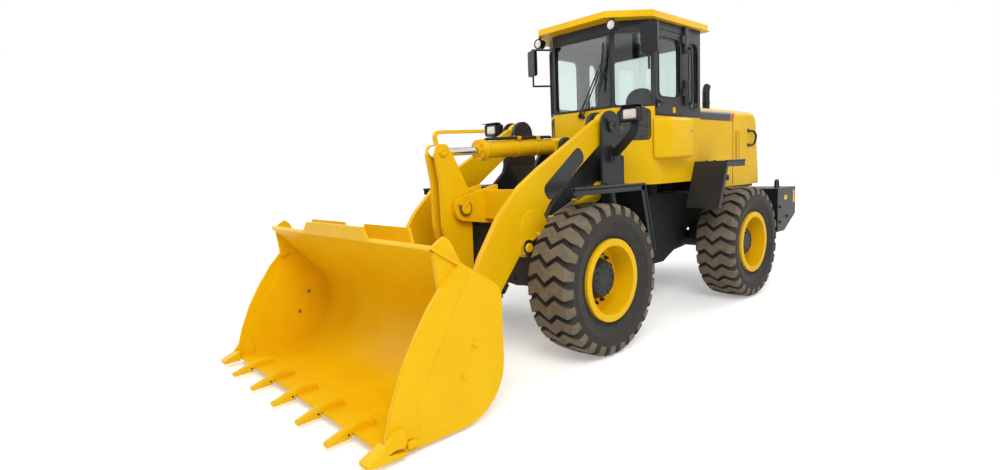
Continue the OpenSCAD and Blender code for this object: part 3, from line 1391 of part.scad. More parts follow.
rear_frame();
rear_axle();
engine();
gearbox();
counterweight();
cab_lower();
cab_frame();
cab_roof();
cab_glass();
seat();
steering_column();
side_box();
ladder();
rear_fenders();
mirrors();
roof_lamps();
hood();
rear_grille();
exhaust();
door_left();
door_left_glass();
door_right();
door_right_glass();
front_frame();
front_axle();
front_fenders();
headlights();
boom();
rocker_pin();
rocker();
bucket_pins();
bucket();
bucket_teeth();
link_pin();
link();
tilt_barrel();
tilt_rod();
level_bar();
lift_barrel_left();
lift_rod_left();
lift_barrel_right();
lift_rod_right();
steer_barrel_left();
steer_rod_left();
steer_barrel_right();
steer_rod_right();
tyre_front_left();
rim_front_left();
tyre_front_right();
rim_front_right();
tyre_rear_left();
rim_rear_left();
tyre_rear_right();
rim_rear_right();
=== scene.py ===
import json
import math

import bmesh
import bpy
from mathutils import Matrix, Vector


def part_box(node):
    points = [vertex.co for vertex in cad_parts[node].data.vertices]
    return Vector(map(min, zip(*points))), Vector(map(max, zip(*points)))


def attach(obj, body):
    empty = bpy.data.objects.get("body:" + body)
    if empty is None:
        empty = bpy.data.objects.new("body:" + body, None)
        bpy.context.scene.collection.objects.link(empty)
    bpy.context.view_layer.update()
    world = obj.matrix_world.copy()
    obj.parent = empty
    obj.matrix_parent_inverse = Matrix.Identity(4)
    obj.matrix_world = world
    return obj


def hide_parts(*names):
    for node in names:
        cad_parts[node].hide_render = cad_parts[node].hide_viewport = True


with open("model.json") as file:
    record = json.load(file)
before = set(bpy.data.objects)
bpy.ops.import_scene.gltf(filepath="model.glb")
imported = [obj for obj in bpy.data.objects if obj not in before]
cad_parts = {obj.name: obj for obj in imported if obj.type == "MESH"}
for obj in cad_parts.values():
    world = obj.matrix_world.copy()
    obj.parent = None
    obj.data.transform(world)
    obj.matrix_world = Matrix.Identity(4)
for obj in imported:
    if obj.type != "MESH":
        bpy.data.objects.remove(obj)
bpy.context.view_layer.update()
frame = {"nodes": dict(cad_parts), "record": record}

# The wheel loader's finishes and fittings, dressed over its solids.
# Lengths are metres. Stations run forward from the rear axle, as on the drawing.
MM = 0.001
SIDES = (1, -1)
LEFT_RIGHT = (("left", 1), ("right", -1))
WHEELS = [(f"{end}_{side}", y) for end in ("front", "rear") for side, y in LEFT_RIGHT]
AHEAD, UP = (1, 0, 0), (0, 0, 1)


def middle_of(node):
    low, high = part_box(node)
    return (low + high) / 2


AXLE_X = middle_of("tyre_rear_left").x


def at(x, y, z):
    """A point given by its station, its distance to the left and its height."""
    return Vector((x + AXLE_X, y, z))


def side_view(outline, y):
    """Points given by their stations and heights, at one distance to the left."""
    return [at(x, y, z) for x, z in outline]


def placed(name, data):
    made = bpy.data.objects.new(name, data)
    bpy.context.scene.collection.objects.link(made)
    return made


# Materials

def srgb(code):
    """An sRGB hex colour as linear RGBA."""
    parts = [int(code[i:i + 2], 16) / 255 for i in (1, 3, 5)]
    return tuple(c / 12.92 if c <= 0.04045 else ((c + 0.055) / 1.055) ** 2.4 for c in parts) + (1.0,)


def add(tree, kind, sockets=None, **settings):
    """Adds a node, sets its settings, and sets or links each of its input sockets."""
    made = tree.nodes.new(kind)
    for name, value in settings.items():
        setattr(made, name, value)
    for name, value in (sockets or {}).items():
        if isinstance(value, bpy.types.NodeSocket):
            tree.links.new(value, made.inputs[name])
        else:
            made.inputs[name].default_value = value
    return made


def start_material(name, roughness, sockets):
    material = bpy.data.materials.new(name)
    material.use_nodes = True
    surface = material.node_tree.nodes["Principled BSDF"]
    surface.inputs["Roughness"].default_value = roughness
    for socket, value in sockets.items():
        surface.inputs[socket].default_value = value
    return material, material.node_tree, surface


def finish(name, roughness, low, high, patch_mm, grain_mm=0, height_mm=0, rounding_mm=0, detail=2.0,
           pebbled=False, sockets=None):
    """Two close colours in blotches of the patch's size, under bumps of the grain's size and height.

    Rounding softens the edges that a press or a weld leaves.
    """
    material, tree, surface = start_material(name, roughness, sockets or {})
    place = add(tree, "ShaderNodeTexCoord").outputs["Object"]
    blotch = add(tree, "ShaderNodeTexNoise", {"Vector": place, "Scale": 1 / (patch_mm * MM), "Detail": 3.0})
    ramp = add(tree, "ShaderNodeValToRGB", {"Fac": blotch.outputs["Fac"]})
    for stop, position, colour in zip(ramp.color_ramp.elements, (0.35, 0.7), (low, high)):
        stop.position, stop.color = position, srgb(colour)
    tree.links.new(ramp.outputs["Color"], surface.inputs["Base Color"])
    if not grain_mm:
        return material
    spread = {"Vector": place, "Scale": 1 / (grain_mm * MM)}
    if pebbled:
        height = add(tree, "ShaderNodeTexVoronoi", spread).outputs["Distance"]
    else:
        height = add(tree, "ShaderNodeTexNoise", {**spread, "Detail": detail}).outputs["Fac"]
    bump = add(tree, "ShaderNodeBump", {"Height": height, "Strength": 0.5, "Distance": height_mm * MM})
    if rounding_mm:
        edge = add(tree, "ShaderNodeBevel", {"Radius": rounding_mm * MM}, samples=4)
        tree.links.new(edge.outputs["Normal"], bump.inputs["Normal"])
    tree.links.new(bump.outputs["Normal"], surface.inputs["Normal"])
    return material


def lamp_glass():
    # Fluted lamp lens, crossed by fine upright flutes. Its colour is painted light: pale for the shine of a
    # bright reflector behind it, with darker bands of painted shade along the flutes
    gloss = {"Coat Weight": 1.0, "Coat Roughness": 0.03}
    material, tree, surface = start_material("fluted_lamp_lens", 0.12, gloss)
    place = add(tree, "ShaderNodeTexCoord").outputs["Object"]
    flutes = add(tree, "ShaderNodeTexWave", {"Vector": place, "Scale": 1 / (40 * MM), "Distortion": 0.2},
                 wave_type="BANDS", bands_direction="Y")
    # Painted reflection and shade: pale and darker bands that follow the flutes
    ramp = add(tree, "ShaderNodeValToRGB", {"Fac": flutes.outputs["Fac"]})
    ramp.color_ramp.elements[0].color = srgb("#A9A294")
    ramp.color_ramp.elements[1].color = srgb("#F6F2EA")
    tree.links.new(ramp.outputs["Color"], surface.inputs["Base Color"])
    bump = add(tree, "ShaderNodeBump", {"Height": flutes.outputs["Fac"], "Strength": 0.6, "Distance": 2 * MM})
    tree.links.new(bump.outputs["Normal"], surface.inputs["Normal"])
    return material


# Sprayed enamel on steel plate: a warm even yellow with a thin clear gloss.
# Its faint orange peel is drawn at 9 mm, coarser than the real 2 mm, so that it shows.
YELLOW = finish("yellow_enamel", 0.42, "#E9B603", "#EFBF08", 420, 9, 0.25, rounding_mm=5,
                sockets={"Specular IOR Level": 0.12, "Coat Weight": 0.04, "Coat Roughness": 0.12})
# Satin enamel on frames and the cab: a cool dark grey with a dry sheen and a little road dust
GREY = finish("grey_enamel", 0.45, "#212325", "#2B2D2F", 300, 7, 0.2, rounding_mm=4,
              sockets={"Specular IOR Level": 0.3})
# Satin chassis black on castings and small fittings, a shade uneven from the spray gun
BLACK = finish("black_enamel", 0.42, "#131314", "#1C1C1E", 200, 6, 0.25, rounding_mm=3,
               sockets={"Specular IOR Level": 0.3})
# Painted sand casting: dull mid grey with a fine sandy skin
IRON = finish("painted_cast_iron", 0.62, "#4C4E50", "#5B5D5F", 120, 5, 0.8, rounding_mm=5, detail=4.0)
# Moulded tyre rubber: a warm near-black that dust has greyed, dry and matt
RUBBER = finish("moulded_tyre_rubber", 0.78, "#211F19", "#2E2B24", 70, 4, 0.6)
# The tops of the lugs, polished by the ground and filmed with brown dust
TREAD = finish("dusty_tread_rubber", 0.82, "#64594A", "#776B59", 60, 5, 0.8)
# Ground and chromed rod: a bright mirror, very faintly uneven
CHROME = finish("hard_chrome", 0.12, "#C9CACC", "#DADBDD", 90, 3, 0.05, sockets={"Metallic": 1.0})
# Turned pin steel, oiled: a soft grey metal with a fine grain
STEEL = finish("machined_steel", 0.33, "#85868A", "#9C9DA0", 40, 2.5, 0.1, rounding_mm=2,
               sockets={"Metallic": 1.0})
# Toughened float glass: clear, with the pale green of its iron seen through the pane
GLASS = finish("tinted_safety_glass", 0.02, "#E1ECEA", "#E7F0EE", 600,
               sockets={"IOR": 1.45, "Transmission Weight": 1.0})
# Extruded seal and hose rubber: deep black, dull, with a soft grain
SEAL = finish("extruded_black_rubber", 0.6, "#0E0E0F", "#19191A", 25, 3, 0.2)
# Sheet vinyl glued to paint: black, smooth, glossier than the enamel round it
VINYL = finish("black_sheet_vinyl", 0.28, "#161517", "#1E1D1F", 150, 6, 0.08)
# Sheet vinyl in signal red, flat and slightly glossy
RED = finish("red_sheet_vinyl", 0.3, "#B7261D", "#C22E23", 150, 6, 0.08)
# Embossed seat vinyl: black, with a leather-like pebble that catches a dull sheen
SEAT = finish("embossed_seat_vinyl", 0.5, "#1B1B1D", "#262628", 60, 4, 0.6, pebbled=True,
              sockets={"Sheen Weight": 0.1})
LENS = lamp_glass()
SLOT_FINISH = {
    "paint_yellow": YELLOW, "frame_grey": GREY, "chassis_black": BLACK, "machine_grey": IRON,
    "seat_vinyl": SEAT, "window_glass": GLASS, "rod_chrome": CHROME, "pin_steel": STEEL,
    "tyre_rubber": RUBBER,
}


def paint_solids():
    for part in frame["record"]["subparts"]:
        solid = frame["nodes"][part["node"]]
        solid.data.materials.clear()
        solid.data.materials.append(SLOT_FINISH[part["material_slot"]])


# Camera, light and floor

CAMERA_PLACE = at(6.758, 3.915, 1.658)
CAMERA_TURN = (84.29623, 2.34037, 138.14131)
CAMERA_LENS_MM = 19.905
CAMERA_SHIFT = (0.0129, -0.0103)
LAMP_AIM = at(2.0, 0, 1.2)
LAMPS = (("key_lamp", at(7.5, 6.5, 8.5), 6, 700), ("fill_lamp", at(6.5, -7.0, 5.5), 7, 300),
         ("back_lamp", at(-6.5, 2.5, 7.5), 6, 320))
FLOOR_REACH = 40


def make_camera():
    camera = placed("camera", bpy.data.cameras.new("camera"))
    camera.data.sensor_width = 36
    camera.data.lens = CAMERA_LENS_MM
    camera.data.shift_x, camera.data.shift_y = CAMERA_SHIFT
    camera.location = CAMERA_PLACE
    camera.rotation_euler = [math.radians(a) for a in CAMERA_TURN]
    bpy.context.scene.camera = camera


def seen_directly(tree):
    """One for what the eye sees straight, in a mirror or through glass; nought for shed light."""
    path = add(tree, "ShaderNodeLightPath").outputs
    seen = path["Is Camera Ray"]
    for other in ("Is Glossy Ray", "Is Transmission Ray"):
        seen = add(tree, "ShaderNodeMath", {0: seen, 1: path[other]}, operation="MAXIMUM").outputs[0]
    return seen


def make_light():
    """Three soft lamps, and a white sky that sheds half the light it shows."""
    bpy.context.scene.view_settings.view_transform = "Standard"
    for name, place, size, watts in LAMPS:
        lamp = placed(name, bpy.data.lights.new(name, "AREA"))
        lamp.data.size, lamp.data.energy = size, watts
        lamp.location = place
        lamp.rotation_euler = (LAMP_AIM - place).to_track_quat("-Z", "Y").to_euler()
    world = bpy.data.worlds.new("studio")
    world.use_nodes = True
    bpy.context.scene.world = world
    tree = world.node_tree
    sky = tree.nodes["Background"]
    sky.inputs["Color"].default_value = srgb("#FFFFFF")
    strength = add(tree, "ShaderNodeMapRange", {"Value": seen_directly(tree), "To Min": 0.5, "To Max": 1.0})
    tree.links.new(strength.outputs[0], sky.inputs["Strength"])


def make_floor():
    mesh = bpy.data.meshes.new("floor")
    corners = [(-1, -1), (1, -1), (1, 1), (-1, 1)]
    mesh.from_pydata([(FLOOR_REACH * u, FLOOR_REACH * v, 0) for u, v in corners], [], [(0, 1, 2, 3)])
    placed("floor", mesh)
    # The floor reads as plain white to the eye and still keeps the machine's shadow
    colours = {"Base Color": srgb("#F4F4F2"), "Emission Color": srgb("#FFFFFF")}
    material, tree, surface = start_material("studio_floor", 0.85, colours)
    spot = add(tree, "ShaderNodeNewGeometry").outputs["Position"]
    away = add(tree, "ShaderNodeVectorMath", {0: spot}, operation="LENGTH")
    span = {"Value": away.outputs["Value"], "From Min": 4.5, "From Max": 14.0, "To Min": 0.32, "To Max": 1.0}
    strength = add(tree, "ShaderNodeMapRange", span, interpolation_type="SMOOTHSTEP")
    glow = add(tree, "ShaderNodeMath", {0: seen_directly(tree), 1: strength.outputs[0]}, operation="MULTIPLY")
    tree.links.new(glow.outputs[0], surface.inputs["Emission Strength"])
    mesh.materials.append(material)


# Mesh helpers

BOLT_HEAD = ((0.5, 0.0), (0.58, 0.05), (0.58, 0.5), (0.46, 0.6))


def skin(name, bm, materials, angle):
    """A mesh of a finished bmesh, smooth up to the given angle."""
    mesh = bpy.data.meshes.new(name)
    bmesh.ops.recalc_face_normals(bm, faces=bm.faces)
    bm.to_mesh(mesh)
    bm.free()
    mesh.polygons.foreach_set("use_smooth", [True] * len(mesh.polygons))
    mesh.set_sharp_from_angle(angle=math.radians(angle))
    for material in materials:
        mesh.materials.append(material)
    return mesh


def piece(name, bm, body, slot, *materials, angle=35):
    """An object of a finished bmesh, riding on a body."""
    made = placed(name, skin(name, bm, materials, angle))
    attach(made, body)
    return made


def loft(bm, rings, capped=True, material=0):
    """Joins closed rings of points, each as long as the next, into a skin."""
    rows = [[bm.verts.new(p) for p in ring] for ring in rings]
    count = len(rows[0])
    for a, b in zip(rows, rows[1:]):
        for i in range(count):
            j = (i + 1) % count
            bm.faces.new((a[i], a[j], b[j], b[i])).material_index = material
    if capped:
        bm.faces.new(rows[0]).material_index = material
        bm.faces.new(rows[-1]).material_index = material


def circle(centre, axis, radius, count, turn=0.0):
    """Points round an axis."""
    quat = Vector(axis).to_track_quat("Z", "Y")
    return [centre + quat @ Vector((u, v, 0)) for u, v in round_section(radius, count, turn)]


def turned(bm, foot, axis, steps, count=32, material=0):
    """A turned form: steps are (radius, distance along the axis) from the foot."""
    axis = Vector(axis).normalized()
    loft(bm, [circle(foot + axis * d, axis, r, count) for r, d in steps], material=material)


def bolt(bm, foot, axis, size=0.024, material=0):
    """A hexagon bolt head with its washer, standing on a face."""
    washer = [(size * 0.85, -0.002), (size * 0.85, size * 0.12), (size * 0.8, size * 0.16)]
    turned(bm, foot, axis, washer, 16, material)
    turned(bm, foot, axis, [(size * r, size * d) for r, d in BOLT_HEAD], 6, material)


def slab(bm, outline, axis, thick, edge=0.003):
    """A flat plate of the outline's shape, raised along the axis, with a small chamfer round its top."""
    axis = Vector(axis).normalized()
    middle = sum(outline, Vector()) / len(outline)
    top = [p + axis * thick + (middle - p).normalized() * edge for p in outline]
    loft(bm, [outline, [p + axis * (thick - edge) for p in outline], top])


def rounded_pane(low, high, radius, count=6):
    """Corner points of a rounded rectangle, as (u, v) pairs, counter-clockwise."""
    corners = ((high[0] - radius, low[1] + radius, -90), (high[0] - radius, high[1] - radius, 0),
               (low[0] + radius, high[1] - radius, 90), (low[0] + radius, low[1] + radius, 180))
    turns = [(u, v, math.radians(a + 90 * k / count)) for u, v, a in corners for k in range(count + 1)]
    return [(u + radius * math.cos(a), v + radius * math.sin(a)) for u, v, a in turns]


def seal_strip(bm, low, high, radius, width, proud, put):
    """A rubber strip round a window; put turns (u, v, out) into a point."""
    inner = rounded_pane(low, high, radius)
    outer = rounded_pane((low[0] - width, low[1] - width), (high[0] + width, high[1] + width), radius + width)
    crown = [((a[0] + b[0]) / 2, (a[1] + b[1]) / 2) for a, b in zip(inner, outer)]
    sections = ((inner, -0.012), (inner, proud * 0.6), (crown, proud), (outer, proud * 0.6), (outer, 0.0))
    rings = [[put(u, v, out) for u, v in line] for line, out in sections]
    loft(bm, rings + [rings[0]], capped=False)


def round_corners(outline, radii, count=6):
    """The outline with each corner cut by its own rounding."""
    made = []
    for i, (corner, radius) in enumerate(zip(outline, radii)):
        corner = Vector(corner)
        a, b = Vector(outline[i - 1]) - corner, Vector(outline[(i + 1) % len(outline)]) - corner
        start, end = corner + a.normalized() * radius, corner + b.normalized() * radius
        for k in range(count + 1):
            u = k / count
            made.append(start * (1 - u) ** 2 + corner * 2 * u * (1 - u) + end * u * u)
    return made


def curve_through(points, steps=6):
    """A smooth line through the points."""
    line = [points[0], *points, points[-1]]
    made = []
    for p, q, r, s in zip(line, line[1:], line[2:], line[3:]):
        for k in range(steps):
            u = k / steps
            made.append((2 * q + (r - p) * u + (2 * p - 5 * q + 4 * r - s) * u * u
                         + (3 * q - p - 3 * r + s) * u * u * u) / 2)
    return made + [points[-1]]


def round_section(radius, count=10, turn=0.0):
    turns = [turn + 2 * math.pi * k / count for k in range(count)]
    return [(radius * math.cos(a), radius * math.sin(a)) for a in turns]


def flat_section(width, thick, edge=0.003):
    u, v = width / 2, thick / 2
    return [(u, v - edge), (u - edge, v), (edge - u, v), (-u, v - edge),
            (-u, edge - v), (edge - u, -v), (u - edge, -v), (u, edge - v)]


def swept(bm, points, section, up=UP, material=0):
    """A bar along a line: the section's first measure lies across the line and the second towards up."""
    rings = []
    for i, p in enumerate(points):
        ahead = (points[min(i + 1, len(points) - 1)] - points[max(i - 1, 0)]).normalized()
        side = ahead.cross(Vector(up)).normalized()
        top = side.cross(ahead)
        rings.append([p + side * u + top * v for u, v in section])
    loft(bm, rings, material=material)


def rounded_block(bm, corner, opposite, edge=0.006, material=0):
    """A block between two opposite corners, with chamfered edges all round."""
    (low_x, high_x), (low_y, high_y), (low_z, high_z) = (sorted(pair) for pair in zip(corner, opposite))
    rings = []
    for z, draw in ((low_z, edge), (low_z + edge, 0), (high_z - edge, 0), (high_z, edge)):
        a, b, c, d = low_x + draw, high_x - draw, low_y + draw, high_y - draw
        rings.append([Vector((u, v, z)) for u, v in (
            (b, c + edge), (b, d - edge), (b - edge, d), (a + edge, d),
            (a, d - edge), (a, c + edge), (a + edge, c), (b - edge, c))])
    loft(bm, rings, material=material)


# Wheels

TYRE_R, TYRE_HALF_W, TYRE_STEPS = 0.665, 0.2225, 104
SEAT_R, RIM_R, RIM_HALF_W = 0.319, 0.365, 0.17
LUG_COUNT, LUG_SHARE, LUG_DEPTH, LUG_EDGE = 26, 0.76, 0.032, 0.006
LUG_FOOT_R, SHOULDER, SHOULDER_TAPER = 0.54, 0.86, 0.22
# Half the tyre's section without lugs, radius and half width: bead, ringed sidewall, groove floor
CARCASS = ((SEAT_R, RIM_HALF_W), (RIM_R, RIM_HALF_W), (0.385, 0.176), (0.388, 0.186), (0.396, 0.188),
           (0.4, 0.182), (0.437, 0.2), (0.5, 0.2165), (0.505, 0.221), (0.513, 0.2215), (0.518, 0.219),
           (0.55, 0.2205), (0.585, 0.216), (0.61, 0.203), (0.625, 0.18), (0.632, 0.13),
           (TYRE_R - LUG_DEPTH, 0.06))
# A lug's top from the flank to the middle, in shares of the tyre's section height and half width
LUG_TOP = ((0.72, 1.004), (0.82, 0.992), (0.9, 0.965), (0.965, 0.865), (0.985, 0.7), (0.993, 0.42),
           (1.0, 0.2), (1.0, 0.0))
# How far a lug runs round the tyre, in pitches, at shares of the half width
LUG_BENDS = ((0.0, -0.26), (0.42, 0.2), (0.8, -0.05), (1.0, -0.12))
HUB_R, HUB_OUT = 0.165, 0.105
HUB_COVER = ((HUB_R + 0.022, 0.001), (HUB_R + 0.022, 0.016), (HUB_R + 0.003, 0.02),
             (HUB_R + 0.003, HUB_OUT - 0.03), (HUB_R - 0.006, HUB_OUT - 0.016),
             (HUB_R - 0.024, HUB_OUT + 0.002), (0.085, HUB_OUT + 0.003), (0.08, HUB_OUT + 0.007),
             (0.03, HUB_OUT + 0.008))
WHEEL_NUT = ((0.02, 0), (0.02, 0.008), (0.013, 0.012), (0.013, 0.03), (0.008, 0.034))


def round_wheel(radius, turn, out):
    return Vector((radius * math.cos(turn), out, radius * math.sin(turn)))


def carcass(bm):
    """The tyre without its lugs."""
    section = CARCASS + tuple((r, -w) for r, w in reversed(CARCASS))
    turns = [2 * math.pi * k / TYRE_STEPS for k in range(TYRE_STEPS + 1)]
    loft(bm, [[round_wheel(r, turn, w) for r, w in section] for turn in turns], capped=False)
    bmesh.ops.remove_doubles(bm, verts=bm.verts, dist=1e-5)


def zigzag(share):
    """How far a lug's edge runs round the tyre, in lug pitches, at a share of the half width."""
    for (a, u), (b, v) in zip(LUG_BENDS, LUG_BENDS[1:]):
        if abs(share) <= b:
            return u + (v - u) * (abs(share) - a) / (b - a)
    return LUG_BENDS[-1][1]


def lugs(bm):
    """Zig-zag bars across the tread, each a chamfered bar that runs down over both shoulders."""
    pitch = 2 * math.pi / LUG_COUNT
    for k in range(LUG_COUNT):
        rows = []
        for share, w in [(s, -w) for s, w in LUG_TOP] + list(reversed(LUG_TOP[:-1])):
            r = SEAT_R + share * (TYRE_R - SEAT_R)
            over_shoulder = max(0.0, (abs(w) - SHOULDER) / (1 - SHOULDER))
            wide = LUG_SHARE * pitch / 2 * (1 - SHOULDER_TAPER * over_shoulder)
            low = max(r - LUG_DEPTH - 0.004, LUG_FOOT_R)
            inward = 0.97 if abs(w) > 0.95 else 1.0
            half = ((wide + 0.012, low, inward), (wide, r - LUG_EDGE, 1.0), (wide - LUG_EDGE / r, r, 1.0))
            section = [(-turn, radius, draw) for turn, radius, draw in half] + list(reversed(half))
            shift, out = (k + zigzag(w)) * pitch, w * TYRE_HALF_W
            ring = [round_wheel(radius, shift + turn, out * draw) for turn, radius, draw in section]
            rows.append([bm.verts.new(p) for p in ring])
        for a, b in zip(rows, rows[1:]):
            for i in range(5):
                face = bm.faces.new((a[i], a[i + 1], b[i + 1], b[i]))
                face.material_index = 1 if i == 2 else 0
        for row in (rows[0], rows[-1]):
            bm.faces.new(row)


def make_tyres():
    """Four tyres of one mesh, in the places of their solids."""
    bm = bmesh.new()
    carcass(bm)
    lugs(bm)
    mesh = skin("lugged_tyre", bm, (RUBBER, TREAD), 30)
    for wheel, _ in WHEELS:
        made = placed(f"lugged_tyre_{wheel}", mesh)
        made.matrix_world = Matrix.Translation(middle_of(f"tyre_{wheel}"))
        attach(made, f"wheel_{wheel}")
        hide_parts(f"tyre_{wheel}")


def make_hubs():
    """Dark planetary hub covers with their bolts, and the ring of wheel nuts on the disc."""
    for wheel, y in WHEELS:
        middle, axis = middle_of(f"tyre_{wheel}"), Vector((0, y, 0))
        bm = bmesh.new()
        turned(bm, middle, axis, HUB_COVER, 48)
        for foot in circle(middle + axis * (HUB_OUT + 0.002), axis, 0.112, 10):
            bolt(bm, foot, axis, 0.02)
        for foot in circle(middle + axis * 0.0005, axis, 0.225, 16):
            turned(bm, foot, axis, WHEEL_NUT, 12)
        piece(f"hub_cover_{wheel}", bm, f"wheel_{wheel}", "chassis_black", GREY)


# Cab

CAB_REAR, CAB_POST, CAB_FRONT = 0.53, 1.5, 1.8
CAB_SIDE, CAB_NOSE, CAB_TOP = 0.72, 0.4, 3.135
SCREEN = ((-0.37, 2.275), (0.37, 3.015))
CORNER_PANES = (((0.03, 2.275), (-0.03, 3.015)), ((0.06, 1.92), (-0.06, 2.21)))
REAR_WINDOW = ((-0.48, 2.36), (0.48, 2.972))
DOOR_WINDOW = ((0.99, 2.36), (1.413, 2.972))
QUARTER_WINDOW = ((0.6, 2.25), (0.78, 2.972))
HINGE_BOLT_Z = {"left": (2.43, 2.95), "right": (2.38, 2.95)}
DOOR_TAG = ((1.085, 2.19), (1.085, 2.25), (1.14, 2.25), (1.14, 2.19))
ROOF_EDGE = ((0.41, -0.775), (1.6, -0.775), (1.92, -0.51), (1.98, -0.45), (1.98, 0.45), (1.92, 0.51),
             (1.6, 0.775), (0.41, 0.775))


def make_seals():
    """Rubber strips round every window."""
    corner = Vector((CAB_POST - CAB_FRONT, CAB_SIDE - CAB_NOSE, 0))
    run = corner.normalized()
    outward = Vector((run.y, -run.x, 0))

    def on_corner(u, v, out):
        p = Vector((CAB_FRONT, CAB_NOSE, 0)) + run * u + outward * out
        return at(p.x, p.y * y, v)

    def on_side(u, v, out):
        return at(u, y * (CAB_SIDE + out), v)

    bm = bmesh.new()
    seal_strip(bm, *SCREEN, 0.03, 0.02, 0.008, lambda u, v, out: at(CAB_FRONT + out, u, v))
    seal_strip(bm, *REAR_WINDOW, 0.06, 0.02, 0.008, lambda u, v, out: at(CAB_REAR - out, u, v))
    for y in SIDES:
        for low, (inset, top) in CORNER_PANES:
            seal_strip(bm, low, (corner.length + inset, top), 0.03, 0.018, 0.007, on_corner)
        seal_strip(bm, *QUARTER_WINDOW, 0.08, 0.016, 0.007, on_side)
    piece("window_seals", bm, "rear_chassis", "chassis_black", SEAL)
    for side, y in LEFT_RIGHT:
        bm = bmesh.new()
        seal_strip(bm, *DOOR_WINDOW, 0.06, 0.018, 0.007, on_side)
        piece(f"door_window_seal_{side}", bm, f"door_{side}", "chassis_black", SEAL)


def make_wiper():
    """Motor boss under the windscreen, a sprung double arm and a jointed blade."""
    bm = bmesh.new()
    foot = at(CAB_FRONT, -0.02, 2.205)
    turned(bm, foot, AHEAD, [(0.03, 0), (0.03, 0.012), (0.018, 0.016), (0.018, 0.034), (0.012, 0.038)], 20)
    knuckle = foot + Vector((0.03, 0, 0))
    tip = at(CAB_FRONT + 0.032, 0.282, 2.721)
    strip = flat_section(0.018, 0.008, 0.002)
    swept(bm, [knuckle, knuckle.lerp(tip, 0.3)], flat_section(0.026, 0.014), AHEAD)
    swept(bm, [knuckle.lerp(tip, 0.25), tip], strip, AHEAD)
    beside = Vector((0, 0.04, -0.02))
    swept(bm, [knuckle + beside, tip + beside * 0.6], flat_section(0.016, 0.008, 0.002), AHEAD)
    turned(bm, foot + beside, AHEAD, [(0.016, 0), (0.016, 0.03), (0.01, 0.034)], 16)
    low, high = at(CAB_FRONT + 0.016, 0.255, 2.44), at(CAB_FRONT + 0.016, 0.318, 2.93)
    over = Vector((0.012, 0, 0))
    swept(bm, [low, high], flat_section(0.006, 0.014, 0.001), AHEAD, material=1)
    swept(bm, [low + over, high + over], flat_section(0.018, 0.006, 0.0015), AHEAD)
    for share in (0.25, 0.75):
        swept(bm, [low.lerp(high, share + d) + Vector((0.016, 0, 0)) for d in (-0.03, 0.03)], strip, AHEAD)
    piece("windscreen_wiper", bm, "rear_chassis", "chassis_black", BLACK, SEAL)


def handle(bm, a, b, lift, radius):
    """A round grab bar from a to b, standing off by lift, with its two feet."""
    line = [a, a + lift * 0.8, a.lerp(b, 0.12) + lift, b.lerp(a, 0.12) + lift, b + lift * 0.8, b]
    swept(bm, curve_through(line), round_section(radius), lift.cross(b - a))
    foot = [(radius * 2.2, 0), (radius * 2.2, 0.006), (radius * 1.2, 0.01)]
    for p in (a, b):
        turned(bm, p - lift.normalized() * 0.002, lift, foot, 16)


def make_door_fittings():
    """Latch handles, lock barrels and hinge bolts on both doors, a blank tag, and grab bars on the posts."""
    for side, y in LEFT_RIGHT:
        bm = bmesh.new()
        out = Vector((0, y, 0))
        rounded_block(bm, at(1.425, y * CAB_SIDE, 2.24), at(1.475, y * 0.732, 2.33), 0.004)
        lever = [at(1.45, y * 0.744, 2.30), at(1.40, y * 0.752, 2.295), at(1.33, y * 0.752, 2.29)]
        swept(bm, lever, flat_section(0.024, 0.016, 0.004), out)
        turned(bm, at(1.45, y * 0.731, 2.26), out, [(0.011, 0), (0.011, 0.007), (0.008, 0.009)], 16, 1)
        for z in HINGE_BOLT_Z[side]:
            for x in (0.945, 0.965):
                bolt(bm, at(x, y * 0.7445, z), out, 0.012)
        piece(f"door_fittings_{side}", bm, f"door_{side}", "chassis_black", BLACK, STEEL)
    bm = bmesh.new()
    slab(bm, side_view(DOOR_TAG, CAB_SIDE), (0, 1, 0), 0.0015, 0.0005)
    piece("door_tag", bm, "door_left", "paint_yellow", YELLOW)
    bm = bmesh.new()
    for y in SIDES:
        handle(bm, at(0.84, y * CAB_SIDE, 2.3), at(0.84, y * CAB_SIDE, 2.9), Vector((0, y * 0.06, 0)), 0.012)
    piece("cab_grab_bars", bm, "rear_chassis", "chassis_black", BLACK)


def make_roof_gutter():
    """Rain gutter under the roof's edge."""
    bm = bmesh.new()
    loop = [at(x * 0.994 + 0.006, y * 0.985, CAB_TOP + 0.008) for x, y in ROOF_EDGE]
    swept(bm, loop + [loop[0]], flat_section(0.018, 0.02, 0.004))
    piece("roof_gutter", bm, "rear_chassis", "paint_yellow", YELLOW)


# Hood and rear

HOOD_SIDE = 0.7
HOOD_BEND_Z, HOOD_BEND_R = 2.2067, 0.08
BAND_LOW, BAND_HIGH, BAND_SLANT, BAND_PROUD, BAND_STEPS = 2.14, 2.255, -0.05, 0.0012, 6
HOOD_HANDLE = ((-0.81, HOOD_SIDE, 2.03), (-0.91, 0.73, 2.02), (-0.96, 0.74, 1.95), (-0.91, 0.73, 1.85),
               (-0.81, HOOD_SIDE, 1.84))
LOUVRE_X, LOUVRE_LOW, LOUVRE_PITCH, LOUVRE_COUNT = (-0.56, -0.42), 1.66, 0.02, 19
EXHAUST_FOOT = at(-0.645, 0.2, 2.328)
REAR_FACE, WEIGHT_SIDE = -1.69, 1.02
# Blank reflectors: station, half width and half height
REFLECTORS, REFLECTOR_Z = ((-1.24, 0.05, 0.03), (-1.53, 0.03, 0.085)), 1.12
TAIL_LENS = ((0.027, 0), (0.026, 0.005), (0.018, 0.009), (0.006, 0.011))
TOW_PIN_FOOT = at(-1.61, 0, 1.25)
TOW_PIN_LOOP = ((-0.04, 0.026), (-0.05, 0.07), (0, 0.1), (0.05, 0.07), (0.04, 0.026))
WEIGHT_BOLTS = ((-1.06, 1.0), (-1.06, 0.8), (-1.3, 0.86))


